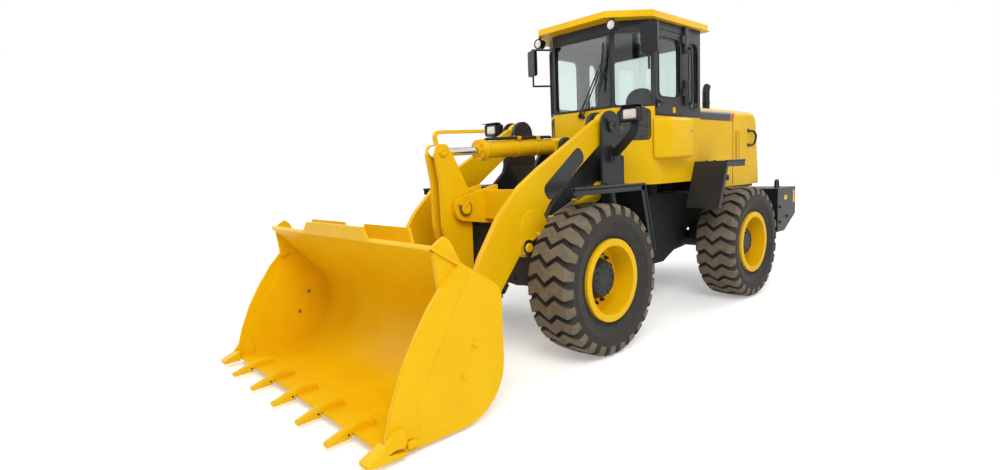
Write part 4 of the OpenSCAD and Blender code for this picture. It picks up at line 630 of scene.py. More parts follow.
def hood_band(bm, front, front_slant, rear, y, material):
    """A sheet stuck to the hood's side and round its shoulder; its ends lean back by their slants."""
    radius = HOOD_BEND_R + BAND_PROUD
    rows = []
    for k in range(BAND_STEPS + 1):
        share = k / BAND_STEPS
        z = BAND_LOW + (BAND_HIGH - BAND_LOW) * share
        turn = max(0.0, (z - HOOD_BEND_Z) / HOOD_BEND_R)
        w = y * (HOOD_SIDE - HOOD_BEND_R + radius * math.cos(turn))
        h = min(z, HOOD_BEND_Z) + radius * math.sin(turn)
        ends = (front + front_slant * share, rear + BAND_SLANT * share)
        rows.append([bm.verts.new(at(x, w, h)) for x in ends])
    for a, b in zip(rows, rows[1:]):
        bm.faces.new((a[0], a[1], b[1], b[0])).material_index = material


def make_hood_fittings():
    """Side bands, handles, latches, the panels' fold lines, louvres and the exhaust's flange."""
    bm = bmesh.new()
    for y in SIDES:
        hood_band(bm, 0.49, 0, -0.27, y, 0)
        hood_band(bm, -0.285, BAND_SLANT, -0.36, y, 1)
    piece("hood_side_bands", bm, "hood", "chassis_black", VINYL, RED)
    bm = bmesh.new()
    for y in SIDES:
        out = Vector((0, y, 0))
        line = [at(x, y * w, z) for x, w, z in HOOD_HANDLE]
        swept(bm, curve_through(line), round_section(0.014), out)
        for p in (line[0], line[-1]):
            turned(bm, p - out * 0.002, out, [(0.028, 0), (0.028, 0.006), (0.018, 0.012)], 16)
        for x in (-0.2, 0.3):
            rounded_block(bm, at(x - 0.03, y * 0.698, 1.4), at(x + 0.03, y * 0.716, 1.47), 0.005)
            turned(bm, at(x, y * 0.715, 1.435), out, [(0.012, 0), (0.012, 0.006), (0.008, 0.008)], 16)
    piece("hood_handles", bm, "hood", "chassis_black", BLACK)
    bm = bmesh.new()
    for y in SIDES:
        out = (0, y, 0)
        for x in (-0.355, -0.36):
            fold = [at(x, y * (HOOD_SIDE + 0.0005), z) for z in (1.33, BAND_LOW)]
            swept(bm, fold, flat_section(0.006, 0.003, 0.001), out)
        for k in range(LOUVRE_COUNT):
            louvre = [at(x, y * 0.702, LOUVRE_LOW + LOUVRE_PITCH * k) for x in LOUVRE_X]
            swept(bm, louvre, flat_section(0.008, 0.008, 0.002), out, 1)
        strip = [at(-0.49, y * 0.7025, z) for z in (1.655, 2.025)]
        swept(bm, strip, flat_section(0.034, 0.008, 0.002), out, 1)
    piece("hood_fold_lines", bm, "hood", "chassis_black", BLACK, YELLOW)
    bm = bmesh.new()
    turned(bm, EXHAUST_FOOT, UP, [(0.095, 0), (0.095, 0.008), (0.06, 0.014), (0.055, 0.03)])
    turned(bm, EXHAUST_FOOT, UP, [(0.0495, 0.1), (0.053, 0.103), (0.053, 0.122), (0.0495, 0.125)])
    for k in range(4):
        a = math.pi / 4 + k * math.pi / 2
        bolt(bm, EXHAUST_FOOT + Vector((0.078 * math.cos(a), 0.078 * math.sin(a), 0.008)), UP, 0.014)
    piece("exhaust_flange", bm, "hood", "chassis_black", BLACK)


def make_rear_fittings():
    """Blank reflectors, tail lamps, the tow pin and the bolts of the counterweight."""
    bm = bmesh.new()
    for y in SIDES:
        for x, half_w, half_h in REFLECTORS:
            corners = ((-half_w, -half_h), (half_w, -half_h), (half_w, half_h), (-half_w, half_h))
            outline = [at(x + u, y * WEIGHT_SIDE, REFLECTOR_Z + v) for u, v in corners]
            slab(bm, outline, (0, y, 0), 0.003, 0.001)
    piece("weight_reflectors", bm, "rear_chassis", "paint_yellow", YELLOW)
    bm = bmesh.new()
    for y in SIDES:
        centre = at(REAR_FACE, y * 0.78, 1.16)
        rounded_block(bm, centre + Vector((-0.03, -0.1, -0.05)), centre + Vector((0.01, 0.1, 0.05)), 0.008, 1)
        for k in (-1, 0, 1):
            turned(bm, centre + Vector((-0.029, 0.06 * k, 0)), (-1, 0, 0), TAIL_LENS, 24, 0 if k else 2)
    piece("tail_lamps", bm, "rear_chassis", "chassis_black", RED, BLACK, LENS)
    bm = bmesh.new()
    turned(bm, TOW_PIN_FOOT, UP, [(0.044, 0), (0.044, 0.012), (0.02, 0.016), (0.02, 0.03)], 24)
    loop = curve_through([TOW_PIN_FOOT + Vector((0, w, z)) for w, z in TOW_PIN_LOOP])
    swept(bm, loop, round_section(0.008), AHEAD)
    for y in SIDES:
        for x, z in WEIGHT_BOLTS:
            bolt(bm, at(x, y * WEIGHT_SIDE, z), (0, y, 0), 0.03)
    piece("tow_pin_and_bolts", bm, "rear_chassis", "chassis_black", BLACK)


# Boom and linkage

BOOM_OUT, BOOM_HINGE = 0.63, (2.24, 2.03)
LOZENGE_ENDS, LOZENGE_HALF_W = ((3.131, 1.408), (2.614, 1.784)), 0.08
LIFT_BASE, LIFT_EYE, LIFT_Y = (2.27, 1.42), (3.3992, 0.9804), 0.6
TILT_BASE, TILT_EYE = (2.246, 1.872), (3.8294, 1.8236)
LIFT_ROD_OUT, TILT_ROD_OUT = 0.15, 0.47
# Pins' ends: body, piece, finishes of keeper and disc, and each pin's station, distance, height and radius
PIN_ENDS = (
    ("front_chassis", "tower_pin_caps", GREY, BLACK, ((2.24, 0.705, 2.03, 0.062), (2.27, 0.69, 1.42, 0.05))),
    ("bucket", "bucket_pin_caps", YELLOW, YELLOW, ((4.04, 0.718, 0.43, 0.055),)),
    ("boom", "rocker_pin_caps", YELLOW, YELLOW, ((3.6476, 0.149, 1.322, 0.052),)),
    ("rocker", "rocker_end_caps", YELLOW, YELLOW,
     ((3.8294, 0.086, 1.8236, 0.04), (3.5972, 0.086, 0.6492, 0.04))),
    ("bucket", "link_pin_caps", YELLOW, YELLOW, ((4.2254, 0.13, 0.7228, 0.042),)))
# The level bar's line: distance along the tilt rod from its eye, and height over it
LEVEL_BAR = ((-0.56, 0.175), (-0.3, 0.175), (-0.07, 0.175), (-0.01, 0.168), (0.012, 0.14), (0.006, 0.1),
             (0.005, 0.046))


def pin_cap(bm, foot, side, radius, keeper=True):
    """A pin's end: chamfered disc, centre dimple, and a keeper plate with its bolt."""
    out = Vector((0, side, 0))
    disc = [(radius, 0), (radius, 0.008), (radius - 0.006, 0.014), (radius * 0.3, 0.014),
            (radius * 0.2, 0.01)]
    turned(bm, foot - out * 0.002, out, disc, 32, 1)
    if keeper:
        plate = [foot + Vector((radius * u, 0, radius * 0.9)) + out * 0.006 for u in (-0.5, 1.7)]
        swept(bm, plate, flat_section(0.036, 0.01, 0.002), out)
        bolt(bm, foot + Vector((radius * 1.45, 0, radius * 0.9)) + out * 0.011, out, 0.02)


def make_boom_fittings():
    """Plain dark lozenges on the arms, bosses and bolts round the pins, and the pins' ends."""
    low, high = (Vector(p) for p in LOZENGE_ENDS)
    run = (high - low).normalized() * LOZENGE_HALF_W
    rise = Vector((-run.y, run.x))
    lozenge = round_corners([low - rise, high - rise, high + rise, low + rise], [LOZENGE_HALF_W * 0.95] * 4)
    bm = bmesh.new()
    for y in SIDES:
        slab(bm, side_view(lozenge, y * BOOM_OUT), (0, y, 0), 0.0015, 0.0005)
    piece("boom_dark_bands", bm, "boom", "chassis_black", VINYL)
    bm = bmesh.new()
    for y in SIDES:
        boss = [(0.17, -0.004), (0.168, 0.006), (0.155, 0.008), (0.03, 0.008)]
        turned(bm, at(3.30, y * BOOM_OUT, 1.13), (0, y, 0), boss, 48)
        for p in circle(at(BOOM_HINGE[0], y * BOOM_OUT, BOOM_HINGE[1]), (0, 1, 0), 0.11, 6, math.pi / 6):
            turned(bm, p, (0, y, 0), [(0.011, -0.002), (0.011, 0.005), (0.006, 0.006)], 12)
    piece("boom_bosses", bm, "boom", "paint_yellow", YELLOW)
    for body, name, keeper_finish, disc_finish, pins in PIN_ENDS:
        bm = bmesh.new()
        for y in SIDES:
            for x, w, z, radius in pins:
                pin_cap(bm, at(x, y * w, z), y, radius, keeper=body != "rocker")
        piece(name, bm, body, "pin_steel", keeper_finish, disc_finish)
    for side, y in LEFT_RIGHT:
        bm = bmesh.new()
        for face in SIDES:
            foot = at(LIFT_EYE[0], y * (LIFT_Y + face * 0.063), LIFT_EYE[1])
            pin_cap(bm, foot, y * face, 0.04, keeper=False)
        piece(f"lift_rod_eye_caps_{side}", bm, f"lift_rod_{side}", "pin_steel", YELLOW, YELLOW)


def cylinder_line(base, eye, y):
    """A cylinder's length, run and upward side, and a function for points along, over and left of it."""
    reach = Vector((eye[0] - base[0], 0, eye[1] - base[1]))
    run = reach.normalized()
    up = Vector((-run.z, 0, run.x))
    start = at(base[0], y, base[1])
    return reach.length, run, up, lambda d, u=0.0, w=0.0: start + run * d + up * u + Vector((0, w, 0))


def make_cylinder_fittings():
    """Gland rings with their bolts, pipes clipped along the barrels, and the level bar on the tilt rod."""
    length, run, up, spot = cylinder_line(TILT_BASE, TILT_EYE, 0)
    head = length - TILT_ROD_OUT
    bm = bmesh.new()
    turned(bm, spot(head - 0.072), run, [(0.1, 0), (0.103, 0.003), (0.103, 0.024), (0.098, 0.028)], 40)
    for foot in circle(spot(head - 0.002), run, 0.074, 8):
        bolt(bm, foot, run, 0.02)
    turned(bm, spot(head - 0.003), run, [(0.056, 0), (0.056, 0.014), (0.045, 0.02), (0.0385, 0.02)])
    short = ((0.16, 0.095, -0.045), (0.22, 0.1, -0.045), (0.5, 0.1, -0.045), (0.56, 0.075, -0.045))
    long = ((0.16, 0.095, 0.045), (0.22, 0.1, 0.045), (head - 0.14, 0.1, 0.045), (head - 0.09, 0.085, 0.027))
    for pipe in (short, long):
        swept(bm, curve_through([spot(*p) for p in pipe]), round_section(0.015, 12), up, 2)
    for d in (0.35, 0.62):
        swept(bm, [spot(d, 0.1, w) for w in (-0.075, 0.075)], flat_section(0.04, 0.034, 0.006), up)
        bolt(bm, spot(d, 0.117), up, 0.016, 1)
        turned(bm, spot(d - 0.02), run, [(0.0815, 0), (0.085, 0.002), (0.085, 0.038), (0.0815, 0.04)], 40)
    piece("tilt_barrel_fittings", bm, "tilt_barrel", "chassis_black", YELLOW, STEEL, SEAL)
    bm = bmesh.new()
    line = curve_through([spot(length + d, u) for d, u in LEVEL_BAR])
    swept(bm, line, flat_section(0.03, 0.04, 0.004), (0, 1, 0))
    bar = piece("level_bar_tube", bm, "tilt_rod", "paint_yellow", YELLOW)
    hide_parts("level_bar")
    for side, y in LEFT_RIGHT:
        length, run, up, spot = cylinder_line(LIFT_BASE, LIFT_EYE, y * LIFT_Y)
        head = length - LIFT_ROD_OUT
        bm = bmesh.new()
        turned(bm, spot(head - 0.03), run, [(0.0705, 0), (0.073, 0.004), (0.073, 0.022), (0.07, 0.026)], 36)
        turned(bm, spot(head - 0.003), run, [(0.05, 0), (0.05, 0.01), (0.0375, 0.012)], 32, 1)
        pipe = ((0.2, 0.06), (0.22, 0.082), (0.3, 0.082), (head - 0.14, 0.082), (head - 0.08, 0.06))
        swept(bm, curve_through([spot(*p) for p in pipe]), round_section(0.011, 12), up, 2)
        for d in (0.42, 0.78):
            turned(bm, spot(d), run, [(0.0635, 0), (0.066, 0.002), (0.066, 0.03), (0.0635, 0.032)], 36)
            clip = [spot(d + 0.016, 0.08, w) for w in (-0.025, 0.025)]
            swept(bm, clip, flat_section(0.03, 0.03, 0.005), up)
        piece(f"lift_barrel_fittings_{side}", bm, f"lift_barrel_{side}", "paint_yellow", YELLOW, STEEL, STEEL)


# Lamps and mirrors

HEADLIGHT_Y, TOWER_SIDE, HEAD_FOOT_T = 0.95, 0.715, 0.012
# The headlight's leaning arm: distance from the middle and height
HEAD_ARM = ((0.722, 1.76), (0.8, 1.81), (0.9, 1.9), (0.955, 1.955), (0.965, 2.0), (0.965, 2.05))
HEAD_FOOT = ((2.2, 1.68), (2.3, 1.68), (2.3, 1.84), (2.2, 1.84))
# Lens and mirror crowns: share of the pane kept, and distance out
LENS_CROWN = ((1, -0.002), (1, 0.004), (0.9, 0.011), (0.55, 0.016), (0.1, 0.018))
MIRROR_CROWN = ((1, -0.002), (1, 0.003), (0.97, 0.004))


def make_lamps():
    """Square headlights in deep bezels on leaning arms, round roof lamps, and the mirrors' glass."""
    bm = bmesh.new()
    pane = rounded_pane((-0.078, -0.047), (0.078, 0.047), 0.016)
    for y in SIDES:
        centre = at(2.305, y * HEADLIGHT_Y, 2.115)
        seal_strip(bm, (-0.076, -0.045), (0.076, 0.045), 0.016, 0.03, 0.026,
                   lambda u, v, out: centre + Vector((out, u, v)))
        rings = [[centre + Vector((out, u * k, v * k)) for u, v in pane] for k, out in LENS_CROWN]
        loft(bm, rings, material=1)
    piece("headlight_lenses", bm, "front_chassis", "chassis_black", BLACK, LENS)
    bm = bmesh.new()
    for y in SIDES:
        middle = y * HEADLIGHT_Y
        rounded_block(bm, at(2.197, middle - 0.109, 2.042), at(2.304, middle + 0.109, 2.188), 0.02)
        swept(bm, [at(2.3, middle + w, 2.192) for w in (-0.112, 0.112)], flat_section(0.09, 0.008, 0.002))
        arm = curve_through([at(2.25, y * w, z) for w, z in HEAD_ARM], 3)
        swept(bm, arm, flat_section(0.085, 0.016, 0.003), AHEAD)
        slab(bm, side_view(HEAD_FOOT, y * TOWER_SIDE), (0, y, 0), HEAD_FOOT_T)
        for z in (1.71, 1.81):
            bolt(bm, at(2.25, y * (TOWER_SIDE + HEAD_FOOT_T), z), (0, y, 0), 0.02)
    arms = piece("headlight_arms", bm, "front_chassis", "chassis_black", BLACK)
    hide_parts("headlights")
    bm = bmesh.new()
    for y in SIDES:
        foot = at(1.94, y * 0.5, 3.06)
        shell = [(0.054, -0.03), (0.056, -0.026), (0.056, 0.01), (0.05, 0.014), (0.046, 0.002)]
        turned(bm, foot, AHEAD, shell, 36)
        turned(bm, foot, AHEAD, [(0.046, 0.001), (0.044, 0.006), (0.03, 0.011), (0.01, 0.013)], 36, 1)
    piece("roof_lamp_lenses", bm, "rear_chassis", "chassis_black", BLACK, LENS)
    bm = bmesh.new()
    pane = rounded_pane((-0.072, -0.138), (0.072, 0.138), 0.02)
    for y in SIDES:
        turn = Matrix.Rotation(math.radians(20 * y), 3, "Z")
        centre = at(1.705, y * 0.795, 2.91)
        rings = [[centre + turn @ Vector((-out, u * k, v * k)) for u, v in pane] for k, out in MIRROR_CROWN]
        loft(bm, rings, material=1)
        seal_strip(bm, (-0.07, -0.136), (0.07, 0.136), 0.02, 0.012, 0.007,
                   lambda u, v, out: centre + turn @ Vector((-out, u, v)))
    piece("mirror_glass", bm, "rear_chassis", "chassis_black", BLACK, CHROME)


# Bucket

BUCKET_SIDE = 1.265
# Outlines in the side view: distance along and height
CHEEK_OUTLINE = ((4.638, 1.093), (4.784, 0.97), (4.892, 0.851), (5.0, 0.696), (5.104, 0.518), (5.188, 0.316),
                 (5.24, 0.137), (5.0, 0.09), (5.019, 0.285), (4.586, 1.009))
CHEEK_BOLTS = ((4.552, 0.553), (4.656, 0.374))
CHEEK_LAYER = 0.005
# The rolled inside of the shell, from the floor over the heel to the lip
LINING = ((4.99, 0.0585), (4.8, 0.0585), (4.7, 0.062), (4.598, 0.089), (4.472, 0.176), (4.385, 0.273),
          (4.345, 0.371), (4.3285, 0.474), (4.342, 0.594), (4.386, 0.694), (4.44, 0.766), (4.506, 0.839),
          (4.6, 0.937), (4.73, 1.071), (4.8525, 1.1985))
LINING_HALF_W, LINING_T = 1.2405, 0.008
INNER_FOLD = ((4.67, 1.01), (5.12, 0.294), (5.09, 0.06))
INNER_LAYER = 0.018
GUARD_T = 0.012
GUARD_FACE = ((4.857, 0.56, 1.19), (4.872, 0.44, 1.293), (4.872, -0.44, 1.293), (4.857, -0.56, 1.19))
WELD_LINE, WELD_Y, WELD_R = ((5.0, 0.062), (4.66, 0.062)), 1.238, 0.008
TOOTH_Y = (-0.85, -0.425, 0, 0.425, 0.85)
TOOTH_SIDE = ((5.075, 0.0745), (5.25, 0.0745), (5.25, 0.04), (5.413, 0.036), (5.413, 0.054), (5.2, 0.125),
              (5.075, 0.108))
TOOTH_SPINE = ((5.085, 0.1085), (5.2, 0.125), (5.405, 0.057))
TOOTH_HALF_W = 0.031
# Each tooth's pin hole is drawn as a flush black disc, which is painted shade in place of the hole
TOOTH_HOLE = (5.268, 0.068)
CORNER_POINT = ((5.239, 0.04), (5.376, 0.04), (5.376, 0.066), (5.281, 0.108), (5.239, 0.125))
CORNER_Y = (1.195, 1.299)
CORNER_PLATE_Y, CORNER_PLATE_T = 1.266, 0.034
CORNER_PLATE = ((5.123, 0.034), (5.279, 0.036), (5.37, 0.042), (5.37, 0.06), (5.281, 0.1), (5.247, 0.14),
                (5.212, 0.18), (5.175, 0.2), (5.139, 0.2), (5.12, 0.17), (5.114, 0.113), (5.128, 0.087),
                (5.194, 0.092), (5.245, 0.08), (5.124, 0.058))


def chamfered_bar(bm, outline, ends, edge=0.004):
    """A bar across the machine with the side view's outline and small chamfers at its ends."""
    low, high = sorted(ends)
    outline = [Vector(p) for p in outline]
    middle = sum(outline, Vector((0, 0))) / len(outline)
    rings = []
    for y, draw in ((low, edge), (low + edge, 0), (high - edge, 0), (high, edge)):
        drawn = [p + (middle - p).normalized() * draw for p in outline]
        rings.append(side_view(drawn, y))
    loft(bm, rings)


def make_bucket_fittings():
    """The rolled inside, layers and bolts on the cheeks, weld beads in the corners and the teeth."""
    bm = bmesh.new()
    for y in SIDES:
        slab(bm, side_view(CHEEK_OUTLINE, y * BUCKET_SIDE), (0, y, 0), CHEEK_LAYER, 0.002)
        for x, z in CHEEK_BOLTS:
            bolt(bm, at(x, y * BUCKET_SIDE, z), (0, y, 0), 0.034)
    piece("bucket_cheek_layers", bm, "bucket", "paint_yellow", YELLOW)
    bm = bmesh.new()
    inside = curve_through(side_view(LINING, 0), 4)
    outside = []
    for p, a, b in zip(inside, inside[:1] + inside, inside[1:] + inside[-1:]):
        outside.append(p + Vector((0, 1, 0)).cross(b - a).normalized() * LINING_T)
    outline = inside + outside[::-1]
    loft(bm, [[p + Vector((0, w, 0)) for p in outline] for w in (-LINING_HALF_W, LINING_HALF_W)])
    slab(bm, [at(x - GUARD_T, w, z) for x, w, z in GUARD_FACE], (1, 0, -0.15), GUARD_T, 0.002)
    piece("bucket_lining", bm, "bucket", "paint_yellow", YELLOW, angle=30)
    bm = bmesh.new()
    for y in SIDES:
        slab(bm, side_view(INNER_FOLD + LINING[1:-2], y * LINING_HALF_W), (0, -y, 0), INNER_LAYER, 0.002)
        for x, z in CHEEK_BOLTS:
            bolt(bm, at(x, y * (LINING_HALF_W - INNER_LAYER), z), (0, -y, 0), 0.02, 1)
    piece("bucket_inner_layers", bm, "bucket", "paint_yellow", YELLOW, STEEL)
    bm = bmesh.new()
    for y in SIDES:
        swept(bm, side_view(WELD_LINE, y * WELD_Y), round_section(WELD_R))
    piece("bucket_welds", bm, "bucket", "paint_yellow", YELLOW)
    bm = bmesh.new()
    for w in TOOTH_Y:
        chamfered_bar(bm, TOOTH_SIDE, (w - TOOTH_HALF_W, w + TOOTH_HALF_W))
        swept(bm, side_view(TOOTH_SPINE, w), flat_section(0.028, 0.014, 0.004))
        # A black disc on each side at the pin hole: painted shade standing in for the hole
        for out in (-1, 1):
            hole = at(TOOTH_HOLE[0], w + out * TOOTH_HALF_W, TOOTH_HOLE[1])
            turned(bm, hole, (0, out, 0), [(0.008, -0.004), (0.008, 0.0005), (0.005, 0.001)], 16, 1)
    for y in SIDES:
        chamfered_bar(bm, CORNER_POINT, [y * w for w in CORNER_Y])
        slab(bm, side_view(CORNER_PLATE, y * CORNER_PLATE_Y), (0, y, 0), CORNER_PLATE_T)
        rounded_block(bm, at(5.037, y * 1.264, 0.06), at(5.106, y * 1.296, 0.102))
    teeth = piece("bucket_tooth_set", bm, "bucket", "paint_yellow", YELLOW, BLACK)
    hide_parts("bucket_teeth")


# Seat and cab inside

PAD_SHELLS = ((0, 0.92), (0.12, 0.98), (0.3, 1), (0.7, 1), (0.88, 0.98), (1, 0.92))
PAD_VOXEL, PAD_SWELL, PAD_FRAMES = 0.012, 0.024, 20
SEAT_PLAN = round_corners(((0.67, -0.22), (1.13, -0.22), (1.13, 0.22), (0.67, 0.22)), (0.04, 0.1, 0.1, 0.04))
BACK_PLAN = round_corners(((-0.22, 2.075), (0.22, 2.075), (0.2, 2.62), (-0.2, 2.62)), (0.05, 0.05, 0.2, 0.2))
BELLOWS_FOLDS, BELLOWS_LOW, FOLD_H = 5, 1.72, 0.035


def cushion(name, outline, thick, put):
    """A padded block of vinyl: boxed, then blown up a little as cloth so that it crowns between its seams."""
    bm = bmesh.new()
    middle = sum(outline, Vector((0, 0))) / len(outline)
    rings = []
    for share, keep in PAD_SHELLS:
        rings.append([put(middle + (p - middle) * keep, thick * share) for p in outline])
    loft(bm, rings)
    made = piece(name, bm, "rear_chassis", "seat_vinyl", SEAT, angle=60)
    puff(made)


def settle(made):
    """The object's mesh as its modifiers leave it, with the modifiers gone."""
    graph = bpy.context.evaluated_depsgraph_get()
    mesh = bpy.data.meshes.new_from_object(made.evaluated_get(graph))
    made.modifiers.clear()
    made.data = mesh
    return mesh


def puff(made):
    bpy.context.view_layer.objects.active = made
    remesh = made.modifiers.new("even", "REMESH")
    remesh.mode = "VOXEL"
    remesh.voxel_size = PAD_VOXEL
    still = [v.co.copy() for v in settle(made).vertices]
    cloth = made.modifiers.new("cloth", "CLOTH").settings
    cloth.use_pressure = True
    cloth.uniform_pressure_force = 4
    cloth.effector_weights.gravity = 0
    cloth.quality = 5
    for step in range(1, PAD_FRAMES + 1):
        bpy.context.scene.frame_set(step)
    blown = settle(made)
    for v, home in zip(blown.vertices, still):
        move = v.co - home
        v.co = home + move.normalized() * min(move.length, PAD_SWELL) if move.length > 1e-6 else home
    bpy.context.scene.frame_set(1)
    blown.materials.clear()
    blown.materials.append(SEAT)
    blown.polygons.foreach_set("use_smooth", [True] * len(blown.polygons))


def make_seat():
    """A cushion and a leaning back with a round top, on a base with a bellows."""
    lean, hinge = Matrix.Rotation(math.radians(-10), 3, "Y"), at(0.79, 0, 2.065)
    cushion("seat_cushion", SEAT_PLAN, 0.085, lambda p, d: at(p.x, p.y, 1.975 + d))
    cushion("seat_back", BACK_PLAN, 0.095, lambda p, d: hinge + lean @ (at(0.685 + d, p.x, p.y) - hinge))
    bm = bmesh.new()
    rounded_block(bm, at(0.78, -0.12, 1.47), at(1.02, 0.12, 1.72), 0.02)
    for k in range(BELLOWS_FOLDS):
        grow, low = 0.012 * (k % 2), BELLOWS_LOW + FOLD_H * k
        high = at(1.04 + grow, 0.14 + grow, low + FOLD_H)
        rounded_block(bm, at(0.76 - grow, -0.14 - grow, low), high, 0.012)
    rounded_block(bm, at(0.68, -0.21, 1.9), at(1.12, 0.21, 1.97), 0.015)
    base = piece("seat_base", bm, "rear_chassis", "seat_vinyl", SEAL)
    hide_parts("seat")


def make_cab_inside():
    """Dash and side console, two levers with knobs, pedals and a rubber mat."""
    bm = bmesh.new()
    rounded_block(bm, at(1.62, -0.3, 1.98), at(1.74, 0.3, 2.2), 0.03)
    rounded_block(bm, at(0.76, -0.58, 1.6), at(1.26, -0.38, 2.06), 0.02)
    knob = [(0.012, 0), (0.024, 0.012), (0.026, 0.03), (0.016, 0.05), (0.006, 0.054)]
    for x in (1.02, 1.14):
        foot = at(x, -0.48, 2.06)
        turned(bm, foot, UP, [(0.035, 0), (0.03, 0.01), (0.018, 0.035), (0.008, 0.05)], 20, 1)
        swept(bm, [foot, foot + Vector((0.03, 0, 0.2))], round_section(0.007), (0, 1, 0), 2)
        turned(bm, foot + Vector((0.03, 0, 0.19)), UP, knob, 20, 1)
    for w in (-0.17, 0.17):
        swept(bm, [at(1.5, w, 1.475), at(1.6, w, 1.56)], flat_section(0.09, 0.014, 0.004), material=1)
    swept(bm, [at(0.6, 0, 1.474), at(1.72, 0, 1.474)], flat_section(0.66, 0.008, 0.003), material=1)
    piece("cab_inside", bm, "rear_chassis", "chassis_black", BLACK, SEAL, STEEL)


# Side box, fenders, ladder and frame

BOX_PLAN = ((0.925, 0.7215), (1.545, 0.7215), (1.45, 0.85), (0.925, 0.85))
BOX_ROUNDS = (0.002, 0.02, 0.09, 0.04)
BOX_SHELLS = ((1.7, 0.8), (1.704, 0.9), (1.715, 0.97), (1.735, 1), (2.085, 1), (2.108, 0.97),
              (2.122, 0.9), (2.13, 0.78))
FENDER_TOP, FENDER_OUT, FENDER_IN, FENDER_T, FENDER_LIP = 1.47, 1.05, 0.716, 0.02, 0.06
FENDER_BEND, FENDER_END = 2.235, 3.25
FENDER_PLAN = ((FENDER_BEND, FENDER_IN), (2.78, FENDER_IN), (3.22, 0.99), (FENDER_END, 1.03),
               (FENDER_END, FENDER_OUT), (FENDER_BEND, FENDER_OUT))
FLAP_X, FLAP_Z = 2.075, 0.82
# Rubber lips: piece, body, line, and the fixing bolts' stations, distance and height
FENDER_LIPS = (
    ("front_fender_lips", "front_chassis", ((3.25, 1.05, 1.468), (2.235, 1.05, 1.468), (2.075, 1.05, 0.825)),
     (2.4, 2.7, 3.0), 0.76, 1.469),
    ("rear_fender_lips", "rear_chassis", ((0.215, 1.1, 1.648), (0.668, 1.1, 1.648), (0.878, 1.1, 1.135)),
     (0.3, 0.5), 0.78, 1.649))
TREAD_TOOTH = ((0.011, 0), (0.009, 0.004), (0.005, 0.005))
TREAD_X, TREAD_PITCH, TREAD_COUNT = 0.985, 0.037, 9
# Rows of punched teeth: height, and the rows' distances to the left
TREAD_ROWS = [(z - 0.001, (-1.02, -0.985)) for z in (0.585, 0.875, 1.165)] + [
    (1.429, [-1.01 + 0.04 * row for row in range(7)])]
FRAME_SIDE, FRAME_NOSE, FRAME_BACK, HINGE_X = 0.532, 3.12, 2.512, 1.425
FRAME_BOLTS = ((2.4, 1.1), (2.52, 1.1), (2.64, 1.1), (2.95, 0.75), (3.05, 0.75))


def make_side_box():
    """A pressed cover beside the left door, rounded along all its outer edges, with its lock."""
    bm = bmesh.new()
    wall = Vector((1.2, BOX_PLAN[0][1]))
    plan = round_corners(BOX_PLAN, BOX_ROUNDS, 8)
    rings = []
    for z, keep in BOX_SHELLS:
        shrink = Vector((1 - (1 - keep) * 0.35, keep))
        rings.append([at(*(wall + (p - wall) * shrink), z) for p in plan])
    loft(bm, rings)
    turned(bm, at(0.975, 0.849, 1.99), (0, 1, 0), [(0.014, 0), (0.014, 0.004), (0.01, 0.006)], 20, 1)
    cover = piece("side_box_cover", bm, "rear_chassis", "paint_yellow", YELLOW, STEEL, angle=50)
    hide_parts("side_box")


def make_front_fenders():
    """Fenders of bent plate: a flat top cut back along the boom, a leaning flap and turned-down lips."""
    bm = bmesh.new()
    lip = flat_section(FENDER_T, FENDER_LIP)
    for y in SIDES:
        slab(bm, [at(x, y * w, FENDER_TOP) for x, w in FENDER_PLAN], (0, 0, -1), FENDER_T)
        flap = [at(FENDER_BEND, y * FENDER_IN, FENDER_TOP), at(FENDER_BEND, y * FENDER_OUT, FENDER_TOP),
                at(FLAP_X, y * FENDER_OUT, FLAP_Z), at(FLAP_X, y * FENDER_IN, FLAP_Z)]
        slab(bm, flap, (FENDER_TOP - FLAP_Z, 0, FLAP_X - FENDER_BEND), FENDER_T)
        edge = y * (FENDER_OUT - FENDER_T / 2)
        swept(bm, [at(x, edge, FENDER_TOP - 0.03) for x in (FENDER_END, 2.24)], lip)
        swept(bm, [at(2.26, edge, FENDER_TOP - 0.02), at(FLAP_X + 0.03, edge, FLAP_Z + 0.005)], lip, AHEAD)
    plates = piece("front_fender_skins", bm, "front_chassis", "frame_grey", GREY)
    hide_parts("front_fenders")


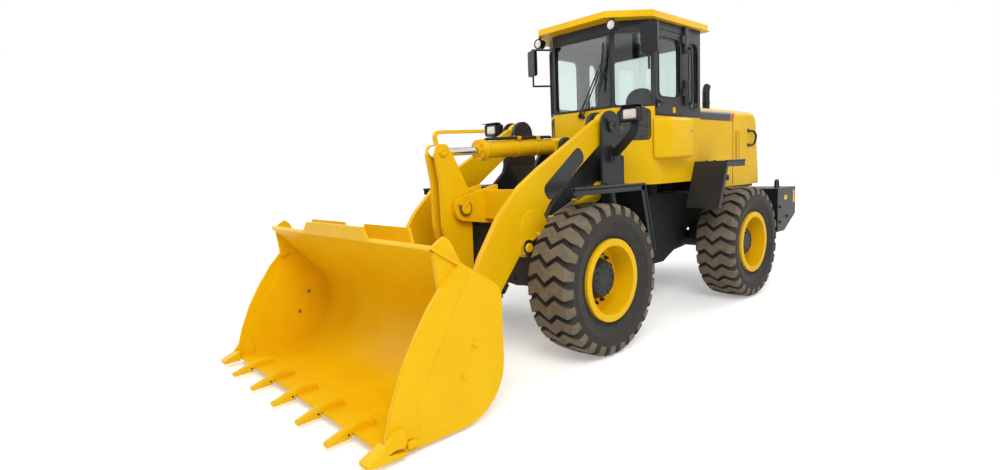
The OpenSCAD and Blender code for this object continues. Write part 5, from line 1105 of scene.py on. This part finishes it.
def make_fender_trim():
    """Rolled rubber lips along the fenders' outer edges, and their fixing bolts."""
    for name, body, line, bolts, w, z in FENDER_LIPS:
        bm = bmesh.new()
        for y in SIDES:
            swept(bm, [at(u, y * v, h) for u, v, h in line], round_section(0.012), (0, y, 0))
            for x in bolts:
                bolt(bm, at(x, y * w, z), UP, 0.022, 1)
        piece(name, bm, body, "chassis_black", SEAL, GREY)


def make_treads():
    """Punched teeth on the ladder's rungs and platform."""
    bm = bmesh.new()
    for z, rows in TREAD_ROWS:
        for k in range(TREAD_COUNT):
            for w in rows:
                turned(bm, at(TREAD_X + TREAD_PITCH * k, w, z), UP, TREAD_TOOTH, 10)
    piece("ladder_treads", bm, "rear_chassis", "chassis_black", BLACK)


def make_frame_fittings():
    """Bolt rows and a cover plate on the front frame, and the steering hinge's pin caps."""
    bm = bmesh.new()
    for y in SIDES:
        for x, z in FRAME_BOLTS:
            bolt(bm, at(x, y * FRAME_SIDE, z), (0, y, 0), 0.028)
    for k in range(5):
        for z in (1.02, 0.62):
            bolt(bm, at(FRAME_NOSE, -0.36 + 0.18 * k, z), AHEAD)
    rounded_block(bm, at(2.498, -0.4, 1.24), at(FRAME_BACK, 0.4, 1.64))
    for w in (-0.36, 0.36):
        for z in (1.3, 1.58):
            bolt(bm, at(FRAME_BACK, w, z), AHEAD, 0.02)
    piece("front_frame_bolts", bm, "front_chassis", "frame_grey", GREY)
    bm = bmesh.new()
    for z in (1.195, 0.61):
        turned(bm, at(HINGE_X, 0, z), UP, [(0.07, -0.002), (0.07, 0.012), (0.062, 0.018), (0.02, 0.018)])
        for foot in circle(at(HINGE_X, 0, z + 0.018), UP, 0.045, 3):
            bolt(bm, foot, UP, 0.018)
    piece("steering_pin_caps", bm, "rear_chassis", "frame_grey", GREY)


make_camera()
make_light()
make_floor()
paint_solids()
make_tyres()
make_hubs()
make_seals()
make_wiper()
make_door_fittings()
make_roof_gutter()
make_hood_fittings()
make_rear_fittings()
make_boom_fittings()
make_cylinder_fittings()
make_lamps()
make_bucket_fittings()
make_seat()
make_cab_inside()
make_side_box()
make_front_fenders()
make_fender_trim()
make_treads()
make_frame_fittings()
